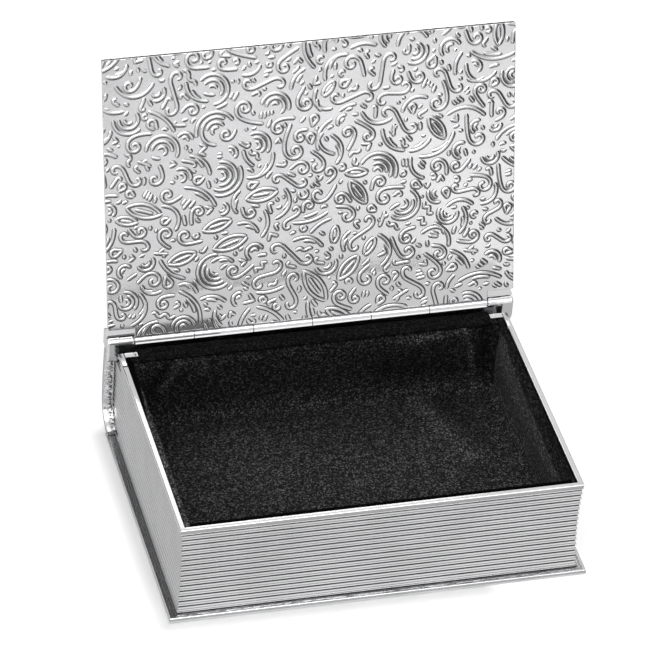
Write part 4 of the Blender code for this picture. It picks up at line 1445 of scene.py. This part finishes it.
def hinge_leaf(name, node, body, first, plate_mesh, centre, carry=Matrix.Identity(4)):
    """A leaf's plate and its knuckles as one piece."""
    knuckles = [knuckle(index, centre) for index in range(first, KNUCKLE_COUNT, 2)]
    mesh = join(name, [plate_mesh, *knuckles])
    mesh.transform(carry)
    add_piece(name, mesh, POLISHED_SILVER, body, [node], weighted=True)


CLEAR = KNUCKLE_RADIUS + PLAY
TAB = 1.5 * MM
LEAF_ROUNDING = 0.1 * MM
LEAF_SET_IN = 0.1 * MM
lid_leaf = slab("lid_leaf", leaf_outline(0, -LEAF_WIDTH, -CLEAR, -TAB), -LEAF_SHEET, 0, LEAF_ROUNDING, 2)
hinge_leaf("lid_leaf_with_knuckles", "lid_hinge_leaf", "lid", 0, lid_leaf, (0, 0), LID_OPEN)
body_leaf_drop = axis_point.z - leaf_low.z
body_leaf = slab("body_leaf", leaf_outline(1, -body_leaf_drop, -CLEAR, -TAB), 0, LEAF_SHEET, LEAF_ROUNDING, 2)
leaf_back = axis_point.y + KNUCKLE_RADIUS - LEAF_SET_IN
body_leaf.transform(Matrix(((1, 0, 0, 0), (0, 0, -1, leaf_back), (0, 1, 0, axis_point.z), (0, 0, 0, 1))))
hinge_leaf("body_leaf_with_knuckles", "body_hinge_leaf", "box", 1, body_leaf, (axis_point.y, axis_point.z))

# %% [markdown]
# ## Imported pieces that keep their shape
# The rear wall, the pin, the corner blocks, the screws and the cards have the right shape already, so
# each only takes its finish.

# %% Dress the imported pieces


def dress(node, finish):
    """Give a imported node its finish."""
    item = frame["nodes"][node]
    for slot in item.material_slots:
        slot.material = finish
    print(node, "is dressed in", finish.name)


dress("page_wall_rear", SATIN_SILVER)
dress("hinge_pin", STEEL)
for corner in CORNERS:
    dress("corner_block_" + corner, SATIN_SILVER)
    dress("base_screw_" + corner, STEEL)
for wall in ("floor", "front", "left", "right", "rear"):
    dress(wall + "_card", CARD)

# %% [markdown]
# ## The velvet lining
# Each wall of the well and its floor has a card covered with velvet over a thin wadding. Wadding under
# cloth never lies flat: it swells, puckers where the cloth is drawn in, and rolls softly into its
# neighbours, so that no hard line shows where a wall meets the floor. Each pad is a closed quilt whose
# face starts with the shape that the photograph shows, such as the rolled foot, the rounded top and a few
# folds. Cloth simulation then blows it up a little with slightly too much fabric, and the back and the
# rim stay held. The simulation runs ten times larger than the box, because cloth settles badly at the
# size of a matchbox.

# %% Quilts
PAD_CELL = 2.2
PAD_EDGE = 1.25
PAD_CROWN = 0.45
EDGE_PLACES = (0, 0.45, 1.1, 2.0)
EVEN_FROM = 3.2
TOP_ROLL = 1.1
THIN_TOP = 0.3
FOOT_ROLL = 4.2
FOOT_REACH = 7
END_ROLL = 2.6
END_REACH = 5
FLOOR_EDGE = 1.6
FLOOR_CROWN = 0.6


def stations(length):
    """Places along a length in millimetres from its middle, closer together near both ends."""
    ease = np.array(EDGE_PLACES)
    cells = max(2, round((length - 2 * EVEN_FROM) / PAD_CELL))
    middle = np.linspace(EVEN_FROM, length - EVEN_FROM, cells + 1)
    return np.concatenate([ease, middle, (length - ease)[::-1]]) - length / 2


def fold(x, y, start, end, width, height):
    """How much a soft ridge from start to end adds here; it dies away at both its ends."""
    run = np.array(end) - np.array(start)
    length = np.linalg.norm(run)
    away = np.array((x, y)) - np.array(start)
    along = away @ run / length ** 2
    aside = (away[0] * run[1] - away[1] * run[0]) / length
    fade = max(0, 1 - (2 * along - 1) ** 4) if 0 < along < 1 else 0
    return height * fade * math.exp(-(aside / width) ** 2)


def wall_face(width, height, rolled_ends, folds):
    """A wall pad's face: how far it stands off its card across and up the wall."""
    def face(x, y):
        """The height at a place, both in millimetres."""
        across = 2 * x / width
        up = 2 * y / height
        above_foot = y + height / 2
        below_top = height / 2 - y
        from_end = width / 2 - abs(x)
        rise = PAD_EDGE + PAD_CROWN * math.sqrt(max(0, (1 - across ** 2) * (1 - up ** 2)))
        if below_top < TOP_ROLL:
            rise *= max(THIN_TOP, math.sqrt(max(0, 1 - (1 - below_top / TOP_ROLL) ** 2)))
        roll = FOOT_ROLL * max(0, 1 - above_foot / FOOT_REACH) ** 3
        if rolled_ends:
            rise += END_ROLL * max(0, 1 - from_end / END_REACH) ** 3
        else:
            roll *= min(1, from_end / FOOT_REACH) ** 2
        return rise + roll + sum(fold(x, y, *each) for each in folds)
    return face


def floor_face(width, depth, folds):
    """The floor pad's face: its height over the card."""
    def face(x, y):
        """The height at a place, both in millimetres."""
        bow = max(0, (1 - (2 * x / width) ** 2) * (1 - (2 * y / depth) ** 2))
        return FLOOR_EDGE + FLOOR_CROWN * math.sqrt(bow) + sum(fold(x, y, *each) for each in folds)
    return face


def quilt(name, width, height, face):
    """A closed quilt lying on its back, in millimetres, with its back and rim in the group that is held."""
    columns = stations(width)
    rows = stations(height)
    shape = bmesh.new()
    top = [[shape.verts.new((x, y, face(x, y))) for x in columns] for y in rows]
    back = [[shape.verts.new((x, y, 0)) for x in columns] for y in rows]
    last_x = len(columns) - 1
    last_y = len(rows) - 1
    for j in range(last_y):
        for i in range(last_x):
            shape.faces.new((top[j][i], top[j][i + 1], top[j + 1][i + 1], top[j + 1][i]))
            shape.faces.new((back[j][i], back[j + 1][i], back[j + 1][i + 1], back[j][i + 1]))
        for i in (0, last_x):
            shape.faces.new((top[j][i], top[j + 1][i], back[j + 1][i], back[j][i]))
    for i in range(last_x):
        for j in (0, last_y):
            shape.faces.new((top[j][i], top[j][i + 1], back[j][i + 1], back[j][i]))
    shape.verts.index_update()
    held = [vertex.index for row in back for vertex in row]
    held += [top[j][i].index for j in range(last_y + 1) for i in range(last_x + 1)
             if i in (0, last_x) or j in (0, last_y)]
    mesh = finish_mesh(name, shape, math.pi)
    pad = bpy.data.objects.new(name, mesh)
    scene.collection.objects.link(pad)
    pad.vertex_groups.new(name="held").add(held, 1, "REPLACE")
    return pad


# %% Blow the quilts up
SIM_SCALE = 10
SIM_FRAMES = 20
PUFF_LIMIT = 0.8
CLOTH_SETTINGS = {
    "quality": 5, "mass": 0.3, "vertex_group_mass": "held", "use_pressure": True, "uniform_pressure_force": 3,
    "shrink_min": -0.03, "bending_stiffness": 0.3}


def puff(pads):
    """Blow the pads up by cloth simulation, cap how far a point may move, and apply the result."""
    starts = []
    for pad in pads:
        start = np.empty(len(pad.data.vertices) * 3)
        pad.data.vertices.foreach_get("co", start)
        starts.append(start)
        pad.data.vertices.foreach_set("co", start * MM * SIM_SCALE)
        cloth = pad.modifiers.new("cloth", "CLOTH")
        for setting, value in CLOTH_SETTINGS.items():
            setattr(cloth.settings, setting, value)
        cloth.settings.effector_weights.gravity = 0
        cloth.collision_settings.use_collision = False
    for moment in range(1, SIM_FRAMES + 1):
        scene.frame_set(moment)
    view = bpy.context.evaluated_depsgraph_get()
    for pad, start in zip(pads, starts):
        blown = np.empty_like(start)
        pad.evaluated_get(view).data.vertices.foreach_get("co", blown)
        moved = (blown / (MM * SIM_SCALE) - start).reshape(-1, 3)
        distance = np.linalg.norm(moved, axis=1)
        moved *= np.minimum(1, PUFF_LIMIT / np.maximum(distance, 1e-9))[:, None]
        print(pad.name, "moved up to", round(float(distance.max()), 2), "mm before the cap")
        pad.modifiers.clear()
        pad.data.vertices.foreach_set("co", start + moved.reshape(-1))
    scene.frame_set(1)


# %% [markdown]
# ## The five pads
# The floor pad reaches under the rolled feet of the wall pads, and the side pads run the whole depth with
# the end pads between them. The folds are where the photograph shows them: one down each rear corner, a
# slack one high on the rear wall, and a long low one across the floor. A fold is written as its two ends,
# its width and its height, in millimetres, and a painted streak as the same with a change of shade, below
# 0 for painted light and above it for painted shade. On the front and side walls the velvet is also
# turned over the top of its card, which hides the board, and the turned part is a soft bar over the card's
# edge. Each pad is divided once more before its points get their painted shade, so that the painted
# patches of light and shade have soft but clear edges.

# %% Where the pads go
PAD_CLEARANCE = 0.05
FLOOR_LIFT = 0.3
FOOT_LIFT = 1.65
CORNER_EASE = 0.35
FLOOR_EASE = 0.5
strip_low, strip_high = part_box("hinge_velvet")
side_card_low, side_card_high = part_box("right_card")
well_side = side_card_low.x / MM
well_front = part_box("front_card")[1].y / MM
well_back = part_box("rear_card")[0].y / MM
lining_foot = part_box("floor_card")[1].z / MM + FLOOR_LIFT
pad_foot = lining_foot + FOOT_LIFT
card_top = side_card_high.z / MM
rear_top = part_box("rear_velvet")[1].z / MM
side_length = well_back - well_front
end_length = 2 * (well_side - PAD_EDGE - CORNER_EASE)
print("the side pads are", round(side_length), "mm long and the end pads", round(end_length), "mm")

# %% Folds and painted streaks of light and shade
REAR_FOLDS = (
    ((-47, 18), (-62, -6), 1.6, 1.1), ((52, 16), (63, -13), 1.8, 1.2), ((22, 8), (54, 11), 3.0, 0.7),
    ((-46, 6), (-38, 13), 4, 0.6))
FLOOR_FOLDS = (((33, 48), (52, 0), 5, 0.9), ((-30, 20), (10, 10), 9, 0.35), ((20, -38), (58, -20), 7, 0.3))
SIDE_FOLDS = (((-30, -3), (24, 3), 4, 0.5), ((30, 12), (42, -10), 2.2, 0.7))
REAR_PAINTED_STREAKS = (
    ((-49, 39), (-58.5, 23), 1.3, -0.75), ((-53, 39), (-63, 22), 2.2, 0.3), ((-42, 39), (-42, 29), 1.6, -0.4),
    ((-66, 39), (-63, 27), 1.6, -0.4), ((30, 34), (57, 38), 1.8, -0.6), ((54, 42), (58, 24), 1.1, -0.8),
    ((57.5, 32), (60, 7), 1.1, -0.6), ((60.5, 44), (63, 12), 4, 0.32), ((16, 25), (57, 20), 6, 0.25))
FLOOR_PAINTED_STREAKS = (
    ((34, 50), (42, 20), 3.4, -0.55), ((40, 24), (50, 0), 4, -0.55), ((43, 52), (54, 6), 5, 0.28),
    ((-34, 40), (-24, -10), 13, -0.22), ((-10, 8), (40, -8), 9, -0.15))
RIGHT_PAINTED_STREAKS = (((38, 26), (14, 32), 2.5, -0.2),)
PAINTED_PILE_STREAKS = {"rear": REAR_PAINTED_STREAKS, "floor": FLOOR_PAINTED_STREAKS, "right": RIGHT_PAINTED_STREAKS}
print(len(REAR_FOLDS + FLOOR_FOLDS + SIDE_FOLDS), "folds,", sum(map(len, PAINTED_PILE_STREAKS.values())), "streaks")

# %% Make and place the quilts


def wall_pad(name, length, top, rolled_ends, folds):
    """A wall's quilt: its own X along the wall and its own Y up."""
    height = top - pad_foot
    return quilt(name, length, height, wall_face(length, height, rolled_ends, folds))


floor_width = 2 * (well_side - FLOOR_EASE)
floor_depth = side_length - 2 * FLOOR_EASE
pads = {
    "velvet_floor": quilt(
        "velvet_floor", floor_width, floor_depth, floor_face(floor_width, floor_depth, FLOOR_FOLDS)),
    "velvet_front": wall_pad("velvet_front", end_length, card_top, True, ()),
    "velvet_rear": wall_pad("velvet_rear", end_length, rear_top, True, REAR_FOLDS),
    "velvet_left": wall_pad("velvet_left", side_length, card_top, False, SIDE_FOLDS),
    "velvet_right": wall_pad("velvet_right", side_length, card_top, False, SIDE_FOLDS)}
puff(list(pads.values()))

middle_y = (well_front + well_back) / 2
middle_z = (pad_foot + card_top) / 2
rear_middle_z = (pad_foot + rear_top) / 2
UP = (0, 0, 1)


def standing(middle, along, inwards):
    """The placement of a wall pad from its middle, the way its own X points and the way it faces."""
    turn = Matrix((along, UP, inwards)).transposed().to_4x4()
    return Matrix.Translation(Vector(middle) * MM) @ turn @ Matrix.Scale(MM, 4)


places = {
    "velvet_floor": Matrix.Translation(Vector((0, middle_y, lining_foot)) * MM) @ Matrix.Scale(MM, 4),
    "velvet_front": standing((0, well_front + PAD_CLEARANCE, middle_z), (-1, 0, 0), (0, 1, 0)),
    "velvet_rear": standing((0, well_back - PAD_CLEARANCE, rear_middle_z), (1, 0, 0), (0, -1, 0)),
    "velvet_left": standing((-well_side + PAD_CLEARANCE, middle_y, middle_z), (0, 1, 0), (1, 0, 0)),
    "velvet_right": standing((well_side - PAD_CLEARANCE, middle_y, middle_z), (0, -1, 0), (-1, 0, 0))}

# %% Painted light and shade on the pile


def share(value, start, end):
    """How far a value has come from start to end, eased, from 0 to 1."""
    way = min(1, max(0, (value - start) / (end - start)))
    return way * way * (3 - 2 * way)


def painted_pile_shade(wall, x, y, z):
    """Painted shade on the pile at a place in millimetres: 1 is black, and below 0 is painted light."""
    forward = share(well_back - y, 0, side_length)
    down = card_top - z
    flat = (x, y) if wall == "floor" else (y, z) if wall in ("left", "right") else (x, z)
    streaks = sum(fold(*flat, *each) for each in PAINTED_PILE_STREAKS.get(wall, ()))
    # Painted shade: the rear pad darkens towards its top under the lid, and the floor towards the back.
    if wall == "rear":
        base = 0.20 + 0.28 * share(z, pad_foot + 1, pad_foot + 15)
    elif wall == "floor":
        base = 0.40 * share(y, 8, well_back - 4) - 0.08
    # Painted light on the left pad's top, brightening forwards; the right pad has a painted black band at its
    # rim.
    elif wall == "left":
        base = 0.1 - 0.7 * share(down, 4, 1) * forward
    elif wall == "right":
        dark_to = 1.5 + 3 * forward
        base = -0.05 - 0.65 * share(down, 17, 3) + 1.2 * share(down, dark_to + 1, dark_to)
    else:
        base = 0.3
    return max(1 - PAINTED_LIGHT_RANGE, min(1, base + streaks))


def painted_hem_shade(wall, x, y):
    """Painted shade on a turned-over top: black, but for a wedge of painted light on the left one that grows
    forwards.
    """
    if wall == "right":
        return 0.7 + 0.3 * share(x, well_side + 0.1, well_side + 0.6)
    if wall != "left":
        return 0.6 if wall == "rear" else 1
    forward = share(well_back - y, 0.05 * side_length, 0.5 * side_length)
    bright_from = -well_side + 1.3 - 2.6 * forward
    return 1 - share(x, bright_from - 0.2, bright_from + 0.3) * (0.9 + 0.65 * forward)


print("the pile's shade in the middle of the floor is", round(painted_pile_shade("floor", 0, 0, lining_foot), 2))

# %% Turn the velvet over the cards
HEM_THICKNESS = 0.55
HEM_REACH = 0.95
HEM_FRONT = 0.75
HEM_RINGS = 50
HEM_WANDER = 0.05
PRESSED_HEM = 0.45
HEM_LIES_ALONG_X = Matrix(((1, 0, 0, 0), (0, 0, 1, 0), (0, 1, 0, 0), (0, 0, 0, 1)))
HEM_SEAT = 0.1
REAR_HEM_SEAT = 0.02
FRONT_OVERLAP = 2
SIDE_OVERLAP = 1.6
REAR_OVERLAP = 2.6
PRESSED_PAST = 0.1
side_hem = (side_length + SIDE_OVERLAP, 0, card_top + HEM_SEAT)
hems = {
    "front": (end_length + FRONT_OVERLAP, 0, card_top + HEM_SEAT), "left": side_hem, "right": side_hem,
    "rear": (end_length + REAR_OVERLAP, strip_high.x / MM + PRESSED_PAST, rear_top + REAR_HEM_SEAT)}


def hem(length, pressed=0):
    """The velvet turned over a card's top: a soft bar along X, flatter where a strip lies on its middle."""
    middle = HEM_THICKNESS / 2
    section = [(HEM_FRONT + middle * math.cos(angle), middle + middle * math.sin(angle))
               for angle in np.linspace(-math.pi / 2, math.pi / 2, 7)]
    section += [(out, HEM_THICKNESS) for out in (0.5, 0.25, 0, -0.25, -0.5)]
    section += [(-HEM_REACH + middle + middle * math.cos(angle), middle + middle * math.sin(angle))
                for angle in np.linspace(math.pi / 2, math.pi * 3 / 2, 7)]
    luck = random.Random(5)
    rings = []
    for x in sorted([*np.linspace(-length / 2, length / 2, HEM_RINGS), -pressed, pressed]):
        wander = luck.uniform(-HEM_WANDER, HEM_WANDER)
        full = PRESSED_HEM if abs(x) <= pressed else 1 + wander
        rings.append([(x, out + wander * (out > 0), up * full) for out, up in section])
    shape = bmesh.new()
    loft(shape, rings)
    return finish_mesh("hem", shape, math.pi)


def add_hem(pad, name, wall):
    """Add the turned-over top to a pad that stands in its place."""
    length, pressed, seat = hems[wall]
    turned_over = hem(length, pressed)
    pad_top = rear_top if wall == "rear" else card_top
    lift = Matrix.Translation((0, seat - (pad_top + pad_foot) / 2, 0))
    turned_over.transform(places[name] @ lift @ HEM_LIES_ALONG_X)
    shape = bmesh.new()
    shape.from_mesh(pad.data)
    shape.from_mesh(turned_over)
    shape.to_mesh(pad.data)
    shape.free()


# %% Finish the pads


def finer(pad):
    """The pad's mesh with every face divided in four and smoothed."""
    soft = pad.modifiers.new("softened", "SUBSURF")
    soft.levels = 1
    mesh = bpy.data.meshes.new_from_object(pad.evaluated_get(bpy.context.evaluated_depsgraph_get()))
    pad.modifiers.clear()
    return mesh


for name, pad in pads.items():
    wall = name.split("_")[1]
    pad.data = finer(pad)
    pad.data.transform(places[name])
    pad_points = len(pad.data.vertices)
    if wall in hems:
        add_hem(pad, name, wall)
    shades = [painted_pile_shade(wall, *(vertex.co / MM)) if vertex.index < pad_points
              else painted_hem_shade(wall, *(vertex.co.xy / MM)) for vertex in pad.data.vertices]
    pad.data.attributes.new("shade", "FLOAT", "POINT").data.foreach_set("value", shades)
    pad.data.materials.clear()
    pad.data.materials.append(VELVET)
    pad.data.shade_smooth()
    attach(pad, "box")
    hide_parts(wall + "_velvet")
    print(name, "has", len(pad.data.polygons), "faces")

# %% [markdown]
# ## The strip before the hinge
# A last piece of velvet covers the rear wall's top and runs back to the barrel. It is a soft bar with a
# rolled front edge over the rear pad and a crease where it dips over the wall. It sees little light under
# the lid, so its velvet is a darker copy of the lining's, which paints that shade into its colour.

# %% The strip before the hinge
STRIP_RINGS = 80
CREASE_DEPTH = 0.35
CREASE_WIDTH = 0.5
CREASE_FROM_BACK = 3.1


def strip_section():
    """The strip's section from its rolled front edge to its back, in Y and Z."""
    front = strip_low.y / MM
    back = strip_high.y / MM
    low = strip_low.z / MM
    top = strip_high.z / MM - 0.05
    section = [(front + 0.55 + 0.7 * math.cos(angle), low + 0.35 + 0.6 * math.sin(angle))
               for angle in np.linspace(math.pi * 1.5, math.pi * 0.6, 8)]
    section += [(y, top - CREASE_DEPTH * math.exp(-((y - back + CREASE_FROM_BACK) / CREASE_WIDTH) ** 2))
                for y in np.linspace(front + 1.2, back - 0.5, 16)]
    section += [(back - 0.5 + 0.5 * math.cos(angle), low + 0.5 + 0.45 * math.sin(angle))
                for angle in np.linspace(math.pi / 2.2, -math.pi / 2, 6)]
    return section


rings = []
for x in np.linspace(strip_low.x / MM, strip_high.x / MM, STRIP_RINGS):
    swell = 0.08 * math.sin(x * 0.31) + 0.05 * math.sin(x * 0.83 + 1)
    rings.append([Vector((x, y, z + swell * (z > strip_low.z / MM + 0.5))) * MM for y, z in strip_section()])
shape = bmesh.new()
loft(shape, rings)
strip_mesh = finish_mesh("velvet_strip", shape, math.pi)
strip = add_piece("velvet_strip", strip_mesh, SHADED_VELVET, "box", ["hinge_velvet"])

# %% [markdown]
# ## The felt
# Under the box a sheet of felt is glued into the recess, so that the screws don't scratch a table.

# %% The felt
FELT_ROUNDING = 0.2 * MM
felt_low, felt_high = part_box("base_felt")
felt_outline = rectangle(felt_low.x, felt_low.y, felt_high.x, felt_high.y)
felt_mesh = slab("felt", felt_outline, 0, felt_high.z, FELT_ROUNDING, 2)
felt = add_piece("felt_sheet", felt_mesh, FELT, "box", ["base_felt"], weighted=True)
